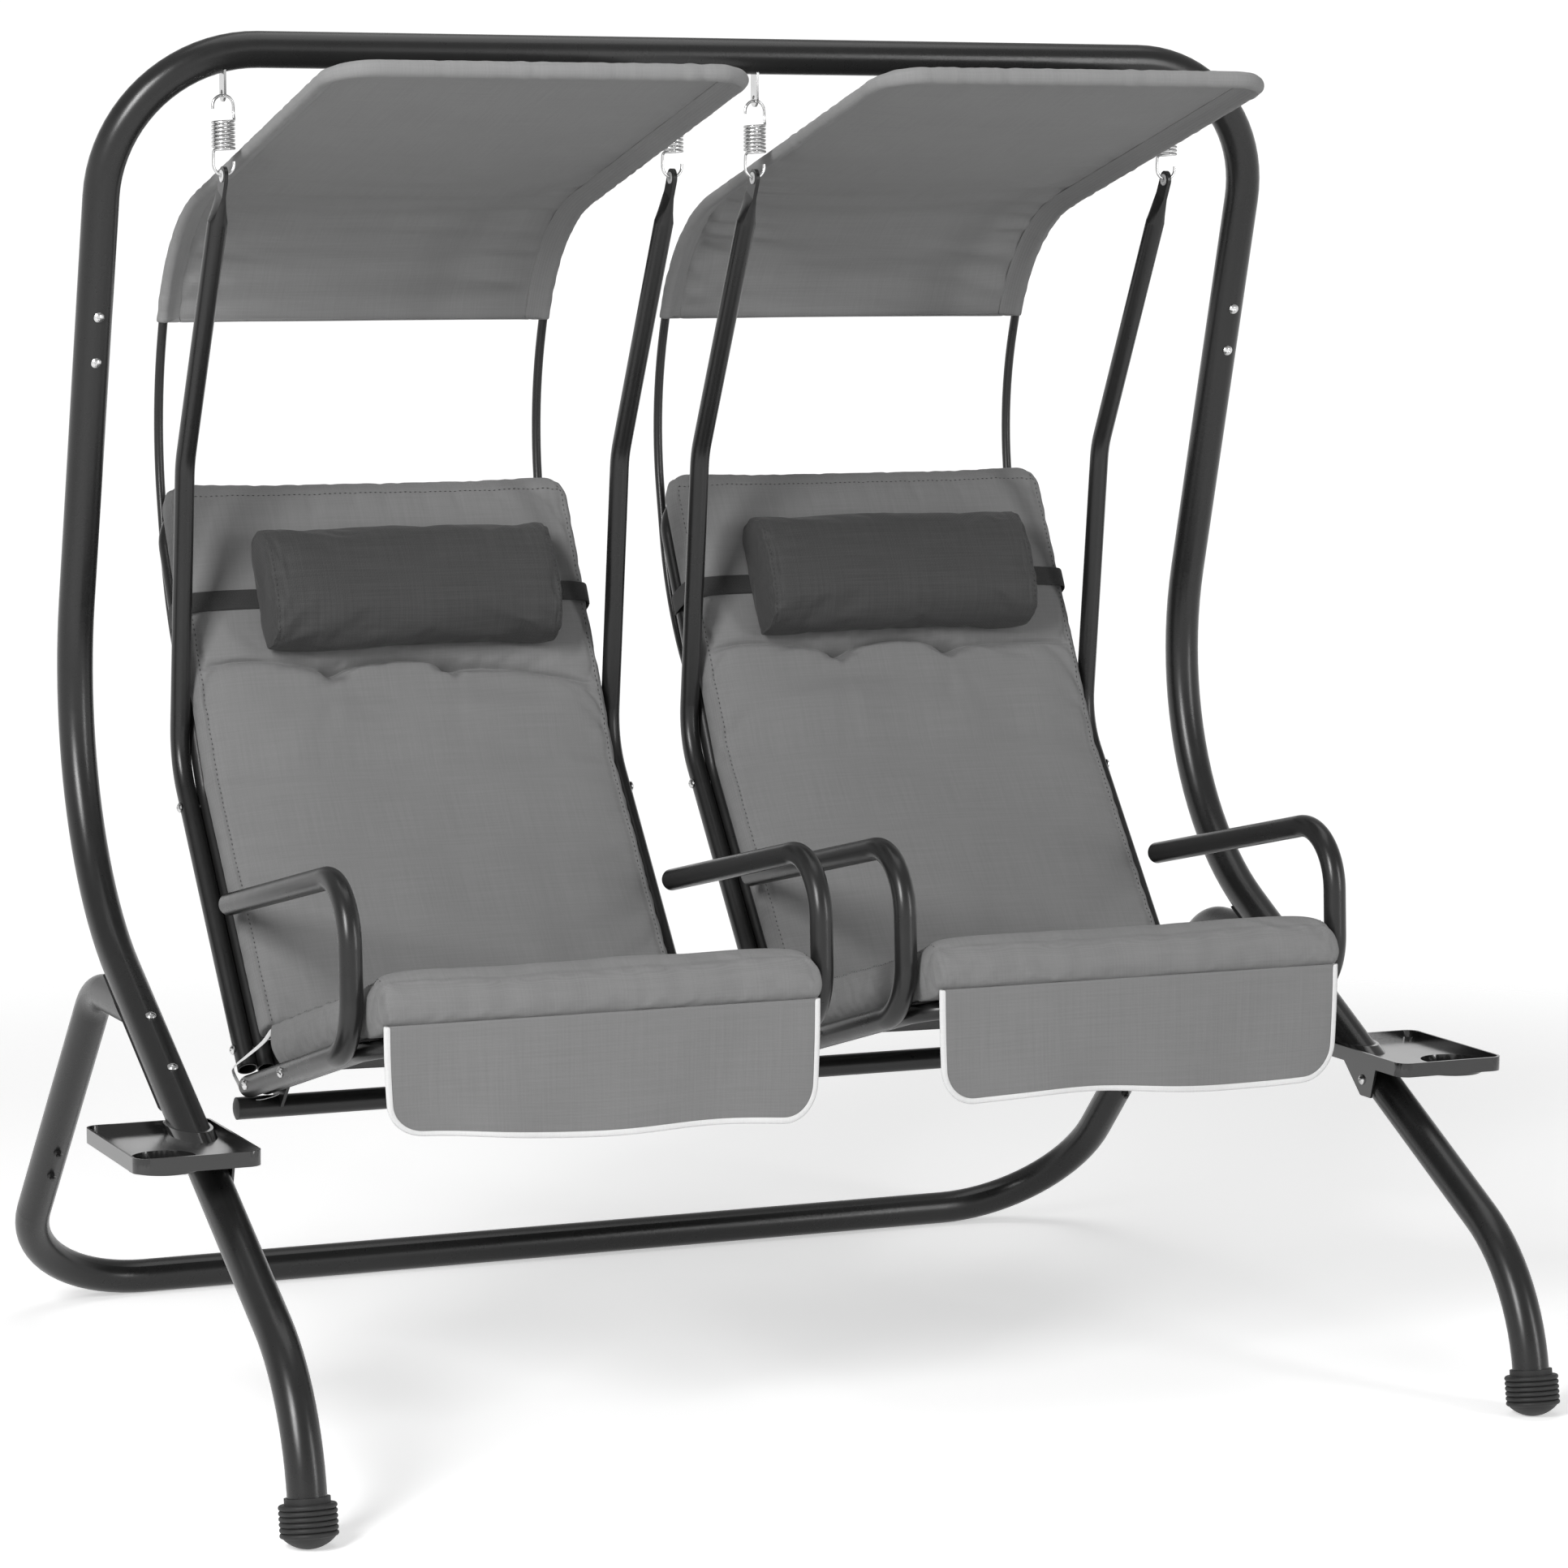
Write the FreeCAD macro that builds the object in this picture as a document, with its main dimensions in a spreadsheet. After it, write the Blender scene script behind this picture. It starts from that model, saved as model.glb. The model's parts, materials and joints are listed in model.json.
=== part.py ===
"""Two hanging lounge seats with canopies under one tube stand. Millimetres, +Z up, front at -Y."""
import FreeCAD, Part
import math
import os
import Sketcher
from FreeCAD import Placement, Rotation, Vector

SIZES = {
    # Stand
    "tube_od": 45.0, "tube_wall": 1.8, "stand_half": 783.7, "bar_y": 78.7, "bar_z": 1661.6,
    "top_bend": 185.0, "knee_y": 357.0, "knee_z": 683.0, "knee_bend": 377.0,
    "shin_y": -634.6, "shin_z": 170.0, "shin_bend": 235.0, "foot_y": -663.6, "foot_gap": 14.0,
    "top_joint_z": 1267.0, "spigot_length": 110.0, "spigot_gap": 0.2, "neck_length": 4.0,
    "rear_y": 670.5, "rear_bend": 185.0, "rear_crown_y": 198.3, "rear_crown_z": 500.0,
    "rear_joint_z": 296.0, "crown_bend": 100.0,
    "saddle_low_z": 420.0, "saddle_high_z": 545.0, "saddle_thick": 3.0, "saddle_wrap": 110.0,
    # Feet
    "cap_rib_r": 33.0, "cap_valley_r": 30.0, "cap_lip_r": 26.0, "cap_height": 57.0, "cap_lip": 7.0,
    "cap_dome_r": 40.0, "cap_flat_depth": 1.0, "cap_ribs": 6.0, "cap_fit": 0.1,
    # Trays
    "tray_length": 230.0, "tray_width": 152.0, "tray_back_y": -160.0, "tray_inner": 35.7,
    "tray_top_z": 395.0, "tray_height": 18.0, "tray_wall": 3.0, "tray_floor": 3.0, "tray_rim": 9.0,
    "tray_corner": 17.0, "collar_wall": 3.5, "collar_fit": 0.3, "cup_bore": 75.0, "cup_depth": 15.0,
    "cup_x": 68.3, "cup_y": -335.0, "gusset_drop": 42.0, "gusset_rear": 59.0, "gusset_front": 36.0,
    "gusset_tip_rear": 5.0, "gusset_tip_front": 21.0,
    # Fasteners
    "bolt_d": 6.0, "bolt_hole": 6.6, "head_d": 13.0, "head_rise": 4.6, "nut_width": 10.0, "nut_height": 5.0,
    "slot_depth": 1.8, "thread_gap": 0.05,
    "top_bolt_high_z": 1343.0, "top_bolt_low_z": 1287.0, "saddle_bolt_high_z": 481.0,
    "saddle_bolt_low_z": 433.0, "leg_bolt_high_z": 268.0, "leg_bolt_low_z": 232.0,
    # Springs and their brackets
    "spring_drop": 55.6, "wire_d": 3.6, "coil_r": 13.0, "coil_pitch": 4.7, "coil_turns": 4.0,
    "hook_rise": 18.0, "hook_bend": 6.0, "tab_width": 20.0, "tab_thick": 3.0, "tab_hole": 9.0,
    "wire_gap": 0.45, "eyelet_gap": 0.9, "bush_bore": 7.2, "bush_od": 10.0, "bush_flange": 15.0,
    "bush_flange_thick": 1.2, "running_gap": 0.3,
    # Seats: hangers, arms and rails, as (y, z) places in the side view
    "seat_pitch": 700.0, "pad_side": 5.0, "hanger_od": 25.0, "hanger_wall": 1.5,
    "eyelet_thick": 5.0, "eyelet_width": 23.4, "eyelet_taper": 62.0, "eyelet_flat": 24.0,
    "hang_high_y": 265.0, "hang_high_z": 1150.0, "hang_high_bend": 90.0,
    "hang_mid_y": 308.0, "hang_mid_z": 770.0, "hang_mid_bend": 110.0,
    "hang_low_y": 8.0, "hang_low_z": 398.0, "hang_end": 23.0,
    "rail_od": 22.0, "rail_wall": 1.5, "rail_corner": 60.0, "rail_bend": 120.0, "side_gap": 0.3,
    "recline_z": 725.0, "back_top_y": 462.0, "back_top_z": 1085.0,
    "arm_od": 28.0, "arm_wall": 1.5, "arm_bend": 75.0, "arm_rear_y": 85.0, "arm_rear_z": 613.0,
    "arm_top_y": -392.0, "arm_top_z": 712.0, "arm_foot_y": -402.0, "arm_foot_z": 507.0,
    "arm_low_y": 8.0, "seat_tilt": 15.0, "seat_rear_y": 22.0, "seat_front_y": -405.0,
    "arm_bolt_reach": 180.0, "link_thick": 4.0, "link_edge": 10.0, "plug_rise": 5.0, "plug_stem": 20.0,
    # Seats: cloth, cushions and canopy
    "sling_thick": 2.0, "sling_over": 2.3, "cloth_gap": 0.3, "sling_inset": 34.0, "seat_sling_inset": 56.0,
    "pad_half": 276.0, "pad_draw": 7.0, "pad_edge": 34.0, "pad_crown": 14.0, "pad_corner": 36.0,
    "back_pad_rise": 3.0, "back_pad_start": 34.0, "seam_z": 858.0, "seam_r": 7.0, "seam_depth": 5.0,
    "tuft_r": 16.0, "tuft_spread": 155.0, "tuft_depth": 10.0,
    "seat_pad_edge": 60.0, "seat_pad_crown": 12.0, "seat_pad_front": -453.0,
    "roll_r": 24.0, "roll_top_r": 36.0,
    "headrest_z": 942.0, "headrest_half": 197.0, "headrest_tall": 168.0, "headrest_deep": 82.0,
    "headrest_soft": 0.84, "headrest_belly": 0.4, "headrest_edge": 9.0, "headrest_end": 0.92,
    "strap_width": 28.0, "strap_thick": 1.6, "strap_slack": 5.5,
    "flap_inset": 4.0, "flap_drop": 143.0, "flap_thick": 3.0, "flap_corner": 44.0,
    "flap_wave": 5.0, "flap_folds": 3.0, "binding_width": 7.0, "binding_thick": 4.2,
    "canopy_od": 12.0, "canopy_wall": 1.0, "canopy_inset": 7.7, "canopy_corner": 50.0,
    "canopy_foot_y": 303.3, "canopy_foot_z": 751.0, "canopy_low_y": 455.0, "canopy_low_z": 935.0,
    "canopy_low_bend": 400.0, "canopy_rear_y": 510.0, "canopy_rear_z": 1200.0, "canopy_rear_bend": 400.0,
    "canopy_top_y": 425.0, "canopy_top_z": 1448.0, "canopy_top_bend": 250.0,
    "canopy_front_y": -265.0, "canopy_front_z": 1630.0, "canopy_cloth": 2.4, "canopy_hem_z": 1325.0,
    "canopy_lip": 9.0, "tie_width": 12.0, "tie_thick": 1.2,
}

doc = FreeCAD.newDocument("swing_seat")
sheet = doc.addObject("Spreadsheet::Sheet", "dim")
for row, (alias, number) in enumerate(SIZES.items(), start=1):
    sheet.set(f"A{row}", alias.replace("_", " "))
    sheet.set(f"B{row}", str(number))
    sheet.setAlias(f"B{row}", alias)
doc.recompute()

X_AXIS = Vector(1, 0, 0)
Y_AXIS = Vector(0, 1, 0)
Z_AXIS = Vector(0, 0, 1)
nodes = []


def size(alias):
    """The number that a cell of the sheet holds."""
    return float(sheet.get(alias))


def value(expression):
    """The number that an expression on the sheet gives."""
    return float(sheet.evalExpression(expression))


def keep(obj, label):
    """Name an object as one node of the part."""
    obj.Label = label
    nodes.append(obj)
    return obj


def feature(label, shape, place=None):
    """A node whose shape comes from Part's own functions."""
    obj = doc.addObject("Part::Feature", label)
    obj.Shape = shape
    if place:
        obj.Placement = place
    return keep(obj, label)


def side(y, z, x=0.0):
    """A point of the side view at the given x."""
    return Vector(x, y, z)


def unit(start, end):
    """The direction from one point to another."""
    return (end - start).normalize()


def at_height(start, end, z):
    """The point at height z on the line through two points."""
    return start + (end - start) * ((z - start.z) / (end.z - start.z))


# Paths: straight runs joined by tangent arcs

def rounded(points, bends):
    """Line and arc geometry along points, with a bend radius at each inner one."""
    runs = []
    start = points[0]
    for before, corner, after, bend in zip(points, points[1:], points[2:], bends):
        back = unit(corner, before)
        onward = unit(corner, after)
        half = back.getAngle(onward) / 2
        reach = bend / math.tan(half)
        enter = corner + back * reach
        leave = corner + onward * reach
        middle = corner + (back + onward).normalize() * (bend / math.sin(half) - bend)
        runs.append(Part.LineSegment(start, enter))
        runs.append(Part.Arc(enter, middle, leave))
        start = leave
    runs.append(Part.LineSegment(start, points[-1]))
    return runs


def path_wire(points, bends):
    """A wire along points with rounded corners."""
    return Part.Wire([run.toShape() for run in rounded(points, bends)])


def swept(wire, radius):
    """A round solid along a wire."""
    first = wire.Edges[0]
    direction = first.tangentAt(first.FirstParameter)
    ring = Part.Wire(Part.makeCircle(radius, wire.Vertexes[0].Point, direction))
    return wire.makePipeShell([ring], True, False)


def offset_side(points, distance):
    """Side-view points moved to the left of their way by a distance, corners mitred."""
    normals = []
    for start, end in zip(points, points[1:]):
        way = unit(start, end)
        normals.append(Vector(0, -way.z, way.y))
    moved = [points[0] + normals[0] * distance]
    for corner, before, after in zip(points[1:], normals, normals[1:]):
        both = before + after
        moved.append(corner + both * (2 * distance / both.dot(both)))
    moved.append(points[-1] + normals[-1] * distance)
    return moved


def side_band(points, bends, near, far):
    """A face of the side view between two offsets of one rounded path."""
    low = path_wire(offset_side(points, near), [bend - near for bend in bends])
    high = path_wire(offset_side(points, far), [bend - far for bend in bends])
    ends = [Part.makeLine(low.Vertexes[i].Point, high.Vertexes[i].Point) for i in (0, -1)]
    return Part.Face(Part.Wire(Part.__sortEdges__(low.Edges + high.Edges + ends)))


# Bent tubes as pipes along constrained sketches

def origin_plane(body, role):
    """One of the planes of a body's own origin."""
    return next(plane for plane in body.Origin.OriginFeatures if plane.Role == role)


def fix_point(sketch, geometry, end, place):
    """Hold a sketch point at two sheet expressions."""
    for kind, expression in zip(("DistanceX", "DistanceY"), place):
        number = value(expression)
        index = sketch.addConstraint(Sketcher.Constraint(kind, -1, 1, geometry, end, number))
        sketch.setExpression(f"Constraints[{index}]", expression)


def path_sketch(body, role, corners, bends):
    """A constrained open path: runs between corners, each inner corner rounded by its bend."""
    sketch = body.newObject("Sketcher::SketchObject", body.Name + "_path")
    sketch.AttachmentSupport = [(origin_plane(body, role), "")]
    sketch.MapMode = "FlatFace"
    points = [Vector(value(u), value(v), 0) for u, v in corners]
    runs = [sketch.addGeometry(run) for run in rounded(points, [value(bend) for bend in bends])]
    for line, arc, onward in zip(runs[0::2], runs[1::2], runs[2::2]):
        forward = sketch.getPoint(arc, 1).distanceToPoint(sketch.getPoint(line, 2)) < 1e-6
        enter, leave = (1, 2) if forward else (2, 1)
        sketch.addConstraint(Sketcher.Constraint("Tangent", line, 2, arc, enter))
        sketch.addConstraint(Sketcher.Constraint("Tangent", arc, leave, onward, 1))
    for index, (corner, bend) in enumerate(zip(corners[1:-1], bends)):
        line, arc, onward = runs[2 * index:2 * index + 3]
        mark = sketch.addGeometry(Part.Point(points[index + 1]), True)
        fix_point(sketch, mark, 1, corner)
        for run in (line, onward):
            sketch.addConstraint(Sketcher.Constraint("PointOnObject", mark, 1, run))
        held = sketch.addConstraint(Sketcher.Constraint("Radius", arc, value(bend)))
        sketch.setExpression(f"Constraints[{held}]", bend)
    fix_point(sketch, runs[0], 1, corners[0])
    fix_point(sketch, runs[-1], 2, corners[-1])
    doc.recompute()
    return sketch


def ring_sketch(body, path, edge, along, outer, inner):
    """Two circles square to an edge of a path, with diameters from the sheet."""
    sketch = body.newObject("Sketcher::SketchObject", body.Name + "_ring")
    sketch.AttachmentSupport = [(path, f"Edge{edge}")]
    sketch.MapMode = "NormalToEdge"
    sketch.MapPathParameter = along
    for expression in (outer, inner):
        number = value(expression)
        circle = sketch.addGeometry(Part.Circle(Vector(), Z_AXIS, number / 2))
        sketch.addConstraint(Sketcher.Constraint("Coincident", circle, 3, -1, 1))
        held = sketch.addConstraint(Sketcher.Constraint("Diameter", circle, number))
        sketch.setExpression(f"Constraints[{held}]", expression)
    doc.recompute()
    return sketch


def bent_tube(name, role, corners, bends, outer, wall, place=None):
    """A tube body along a path in one of its origin planes. Gives the body and its path."""
    body = doc.addObject("PartDesign::Body", name)
    path = path_sketch(body, role, corners, bends)
    ring = ring_sketch(body, path, 1, 0.0, outer, f"{outer} - 2 * {wall}")
    pipe = body.newObject("PartDesign::AdditivePipe", name + "_pipe")
    pipe.Profile = ring
    pipe.Spine = (path, [f"Edge{i + 1}" for i in range(2 * len(bends) + 1)])
    doc.recompute()
    if place:
        body.Placement = place
    return body, path


def add_spigot(body, path, edge, along, reverse):
    """Swage a tube's end: a narrow spigot that fits into the next tube, and its neck."""
    bore = "dim.tube_od - 2 * dim.tube_wall"
    outer = f"{bore} - 2 * dim.spigot_gap"
    inner = f"{outer} - 2 * dim.tube_wall"
    for outside, length, backward in (
        ("dim.tube_od", "dim.neck_length", reverse),
        (outer, "dim.spigot_length", not reverse),
    ):
        pad = body.newObject("PartDesign::Pad", body.Name + "_spigot")
        pad.Profile = ring_sketch(body, path, edge, along, outside, inner)
        pad.setExpression("Length", length)
        pad.Reversed = backward
        doc.recompute()


def drilled(base, label, holes):
    """A node cut from a base by bolt holes, each a (middle, direction, length)."""
    drills = []
    for middle, direction, length in holes:
        drill = doc.addObject("Part::Cylinder", label + "_drill")
        drill.setExpression("Radius", "dim.bolt_hole / 2")
        drill.Height = length
        drill.Placement = Placement(middle - direction * (length / 2), Rotation(Z_AXIS, direction))
        drills.append(drill)
    tool = drills[0]
    if len(drills) > 1:
        tool = doc.addObject("Part::MultiFuse", label + "_drills")
        tool.Shapes = drills
    cut = doc.addObject("Part::Cut", label)
    cut.Base = base
    cut.Tool = tool
    return keep(cut, label)


# Fasteners

def cap_arc(radius, edge, rise):
    """The outline of a dome whose centre is on Z: from its rim at height edge to its top at rise."""
    high = rise - edge
    ball = (radius ** 2 + high ** 2) / (2 * high)
    turn = math.asin(radius / ball) / 2
    middle = Vector(ball * math.sin(turn), 0, rise - ball * (1 - math.cos(turn)))
    return Part.Arc(Vector(radius, 0, edge), middle, Vector(0, 0, rise)).toShape()


def bolt(seat, direction, grip):
    """A pan head bolt whose head stands on seat and points along direction, and its nut."""
    head_r = size("head_d") / 2
    rise = size("head_rise")
    shank_r = size("bolt_d") / 2
    nut_high = size("nut_height")
    tail = grip + nut_high + shank_r
    edge = rise / 3
    crown = cap_arc(head_r, edge, rise)
    outline = [Vector(0, 0, rise), Vector(0, 0, -tail), Vector(shank_r, 0, -tail), Vector(shank_r, 0, 0),
               Vector(head_r, 0, 0), Vector(head_r, 0, edge)]
    edges = Part.makePolygon(outline).Edges + [crown]
    body = Part.Face(Part.Wire(Part.__sortEdges__(edges))).revolve(Vector(), Z_AXIS, 360)
    floor = rise - size("slot_depth")
    slot = Part.makeBox(head_r, shank_r / 3, rise, Vector(-head_r / 2, -shank_r / 6, floor))
    cross = slot.copy()
    cross.rotate(Vector(), Z_AXIS, 90)
    body = body.cut(slot.fuse(cross))
    corner = size("nut_width") / math.sqrt(3)
    hexagon = [Vector(corner, 0, -grip - nut_high)]
    for step in range(6):
        turn = Rotation(Z_AXIS, 60 * (step + 1))
        hexagon.append(turn.multVec(hexagon[0]))
    nut = Part.Face(Part.makePolygon(hexagon)).extrude(Z_AXIS * nut_high)
    nut = nut.cut(Part.makeCylinder(shank_r + size("thread_gap"), nut_high, Vector(0, 0, -grip - nut_high)))
    group = Part.makeCompound([body, nut])
    group.Placement = Placement(seat, Rotation(Z_AXIS, direction))
    return group


# Stand

tube_r = size("tube_od") / 2
half = size("stand_half")
bar = side(size("bar_y"), size("bar_z"))
knee = side(size("knee_y"), size("knee_z"))
shin = side(size("shin_y"), size("shin_z"))
foot = side(size("foot_y"), 0)
upper_way = unit(knee, bar)
lower_way = unit(shin, knee)
foot_way = unit(foot, shin)
upper_front = Vector(0, -upper_way.z, upper_way.y)
lower_front = Vector(0, -lower_way.z, lower_way.y)
lean = math.degrees(math.atan2(-upper_way.y, upper_way.z))
top_joint = at_height(knee, bar, size("top_joint_z"))
foot_end = foot + foot_way * size("foot_gap")
rear = side(size("rear_y"), tube_r)
crown = side(size("rear_crown_y"), size("rear_crown_z"))
leg_way = unit(rear, crown)
leg_front = Vector(0, leg_way.y, leg_way.z).cross(X_AXIS)
rear_joint = at_height(rear, crown, size("rear_joint_z"))
crown_end = side(shin.y + (crown.z - shin.z) * lower_way.y / lower_way.z, crown.z)
top_bolts = [at_height(knee, bar, size(f"top_bolt_{level}_z")) for level in ("high", "low")]
saddle_bolts = [at_height(shin, knee, size(f"saddle_bolt_{level}_z")) for level in ("high", "low")]
leg_bolts = [at_height(rear, crown, size(f"leg_bolt_{level}_z")) for level in ("high", "low")]
through = 3 * size("tube_od")
SIDES = (("left", -1), ("right", 1))
CORNER_CUT = 1 - math.sqrt(0.5)

slope = "((dim.knee_y - dim.bar_y) / (dim.bar_z - dim.knee_z))"
joint_y = f"dim.bar_y + (dim.bar_z - dim.top_joint_z) * {slope}"
joint_drop = f"-(dim.bar_z - dim.top_joint_z) * sqrt(1 + {slope}^2)"
foot_slope = "((dim.shin_y - dim.foot_y) / dim.shin_z)"
foot_rise = f"dim.foot_gap / sqrt(1 + {foot_slope}^2)"
leg_slope = "((dim.rear_y - dim.rear_crown_y) / (dim.rear_crown_z - dim.tube_od / 2))"
leg_rise = f"(dim.rear_joint_z - dim.tube_od / 2) * sqrt(1 + {leg_slope}^2)"
leg_joint_y = f"dim.rear_y - (dim.rear_joint_z - dim.tube_od / 2) * {leg_slope}"
shin_slope = "((dim.knee_y - dim.shin_y) / (dim.knee_z - dim.shin_z))"


def moved_x(points, x):
    """Copies of side-view points in the plane at x."""
    return [Vector(x, point.y, point.z) for point in points]


def make_top_frame():
    """The inverted U of the stand, in the plane of the upper side tubes."""
    body, path = bent_tube(
        "top_frame_blank", "XZ_Plane",
        [("-dim.stand_half", joint_drop), ("-dim.stand_half", "0"),
         ("dim.stand_half", "0"), ("dim.stand_half", joint_drop)],
        ["dim.top_bend", "dim.top_bend"], "dim.tube_od", "dim.tube_wall",
        Placement(bar, Rotation(X_AXIS, lean)))
    body.setExpression("Placement.Base.y", "dim.bar_y")
    body.setExpression("Placement.Base.z", "dim.bar_z")
    holes = [(point, upper_front, through) for x in (-half, half) for point in moved_x(top_bolts, x)]
    drilled(body, "top_frame_tube", holes)
    wire = path.Shape.copy()
    wire.Placement = body.Placement.multiply(wire.Placement)
    return swept(Part.Wire(wire.Edges), tube_r)


def make_side_tube(name, sign):
    """An S-bent side tube with a spigot for the top frame."""
    body, path = bent_tube(
        f"side_blank_{name}", "YZ_Plane",
        [(f"dim.foot_y + {foot_rise} * {foot_slope}", foot_rise), ("dim.shin_y", "dim.shin_z"),
         ("dim.knee_y", "dim.knee_z"), (joint_y, "dim.top_joint_z")],
        ["dim.shin_bend", "dim.knee_bend"], "dim.tube_od", "dim.tube_wall",
        Placement(Vector(sign * half, 0, 0), Rotation()))
    body.setExpression("Placement.Base.x", f"{sign} * dim.stand_half")
    add_spigot(body, path, 5, 1.0, False)
    x = sign * half
    holes = [(point, upper_front, through) for point in moved_x(top_bolts, x)]
    holes += [(point, lower_front, through) for point in moved_x(saddle_bolts, x)]
    holes.append((tray_bolt_place(sign), X_AXIS, through))
    drilled(body, f"side_tube_{name}", holes)


def make_rear_base():
    """The U on the floor, its legs leaning forward."""
    lie = math.degrees(math.atan2(-leg_way.y, leg_way.z))
    body, _ = bent_tube(
        "rear_base_blank", "XZ_Plane",
        [("-dim.stand_half", leg_rise), ("-dim.stand_half", "0"),
         ("dim.stand_half", "0"), ("dim.stand_half", leg_rise)],
        ["dim.rear_bend", "dim.rear_bend"], "dim.tube_od", "dim.tube_wall",
        Placement(rear, Rotation(X_AXIS, lie)))
    body.setExpression("Placement.Base.y", "dim.rear_y")
    holes = [(point, leg_front, through) for x in (-half, half) for point in moved_x(leg_bolts, x)]
    drilled(body, "rear_base_tube", holes)


def make_knee_tube(name, sign):
    """A bent tube from a rear leg to its side tube, coped round the saddle."""
    body, path = bent_tube(
        f"knee_blank_{name}", "YZ_Plane",
        [(leg_joint_y, "dim.rear_joint_z"), ("dim.rear_crown_y", "dim.rear_crown_z"),
         (f"dim.shin_y + (dim.rear_crown_z - dim.shin_z) * {shin_slope}", "dim.rear_crown_z")],
        ["dim.crown_bend"], "dim.tube_od", "dim.tube_wall",
        Placement(Vector(sign * half, 0, 0), Rotation()))
    body.setExpression("Placement.Base.x", f"{sign} * dim.stand_half")
    add_spigot(body, path, 1, 0.0, True)
    cope = doc.addObject("Part::Cylinder", f"knee_cope_{name}")
    cope.setExpression("Radius", "dim.tube_od / 2 + dim.saddle_thick")
    cope.Height = 4 * through
    start = Vector(sign * half, crown_end.y, crown_end.z) - lower_way * (2 * through)
    cope.Placement = Placement(start, Rotation(Z_AXIS, lower_way))
    coped = doc.addObject("Part::Cut", f"knee_coped_{name}")
    coped.Base = body
    coped.Tool = cope
    holes = [(point, leg_front, through) for point in moved_x(leg_bolts, sign * half)]
    drilled(coped, f"knee_tube_{name}", holes)


def make_saddle(name, sign):
    """The curved plate between a knee tube and its side tube."""
    start = at_height(shin, knee, size("saddle_low_z"))
    end = at_height(shin, knee, size("saddle_high_z"))
    start.x = sign * half
    end.x = sign * half
    length = start.distanceToPoint(end)
    wrap = size("saddle_wrap")
    outer = Part.makeCylinder(tube_r + size("saddle_thick"), length, Vector(), Z_AXIS, wrap)
    shell = outer.cut(Part.makeCylinder(tube_r, length))
    shell.rotate(Vector(), Z_AXIS, -wrap / 2)
    frame_x = -lower_front
    frame = FreeCAD.Matrix(frame_x.x, 0, lower_way.x, 0, frame_x.y, 0, lower_way.y, 0,
                           frame_x.z, 0, lower_way.z, 0, 0, 0, 0, 1)
    frame_y = lower_way.cross(frame_x)
    frame.A12, frame.A22, frame.A32 = frame_y.x, frame_y.y, frame_y.z
    shell = shell.transformed(Placement(frame).toMatrix())
    shell.translate(start)
    for point in moved_x(saddle_bolts, sign * half):
        shell = shell.cut(Part.makeCylinder(size("bolt_hole") / 2, through, point, -lower_front))
    feature(f"saddle_{name}", shell)


def make_foot_cap(name, sign):
    """A ribbed rubber foot round the end of a side tube, flat where it stands."""
    dome_r = size("cap_dome_r")
    valley = size("cap_valley_r")
    rib = size("cap_rib_r")
    lip = size("cap_lip_r")
    high = size("cap_height")
    middle = (dome_r - size("cap_flat_depth")) / foot_way.z
    dome_top = middle - math.sqrt(dome_r ** 2 - valley ** 2)
    rib_top = high - size("cap_lip")
    count = int(size("cap_ribs"))
    pitch = (rib_top - dome_top) / count
    low = Vector(0, 0, middle - dome_r)
    shoulder = Vector(valley, 0, dome_top)
    turn = math.atan2(valley, middle - dome_top) / 2
    bulge = Vector(dome_r * math.sin(turn), 0, middle - dome_r * math.cos(turn))
    edges = [Part.Arc(low, bulge, shoulder).toShape()]
    for step in range(count):
        start = Vector(valley, 0, dome_top + step * pitch)
        end = start + Z_AXIS * pitch
        peak = (start + end) * 0.5
        peak.x = rib
        edges.append(Part.Arc(start, peak, end).toShape())
    wall_r = tube_r + size("cap_fit")
    gap = size("foot_gap")
    outline = [Vector(valley, 0, rib_top), Vector(lip, 0, rib_top), Vector(lip, 0, high),
               Vector(wall_r, 0, high), Vector(wall_r, 0, gap), Vector(0, 0, gap), low]
    edges += Part.makePolygon(outline).Edges
    cap = Part.Face(Part.Wire(Part.__sortEdges__(edges))).revolve(Vector(), Z_AXIS, 360)
    cap = cap.transformed(Placement(Vector(sign * half, foot.y, 0), Rotation(Z_AXIS, foot_way)).toMatrix())
    below = Part.makeBox(4 * rib, 4 * rib, rib, Vector(sign * half - 2 * rib, foot.y - 2 * rib, -rib))
    feature(f"foot_cap_{name}", cap.cut(below))


def tray_bolt_place(sign):
    """Where a tray's gusset is bolted to the side tube."""
    drop = size("tray_top_z") - size("tray_height") - size("gusset_drop") / 2
    place = at_height(shin, knee, drop)
    return Vector(sign * half, place.y, place.z)


def rounded_block(low, high, corner):
    """A block with upright rounded corners."""
    block = Part.makeBox(high.x - low.x, high.y - low.y, high.z - low.z, low)
    upright = [edge for edge in block.Edges if abs(edge.tangentAt(0).z) > 0.99]
    return block.makeFillet(corner, upright)


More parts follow.
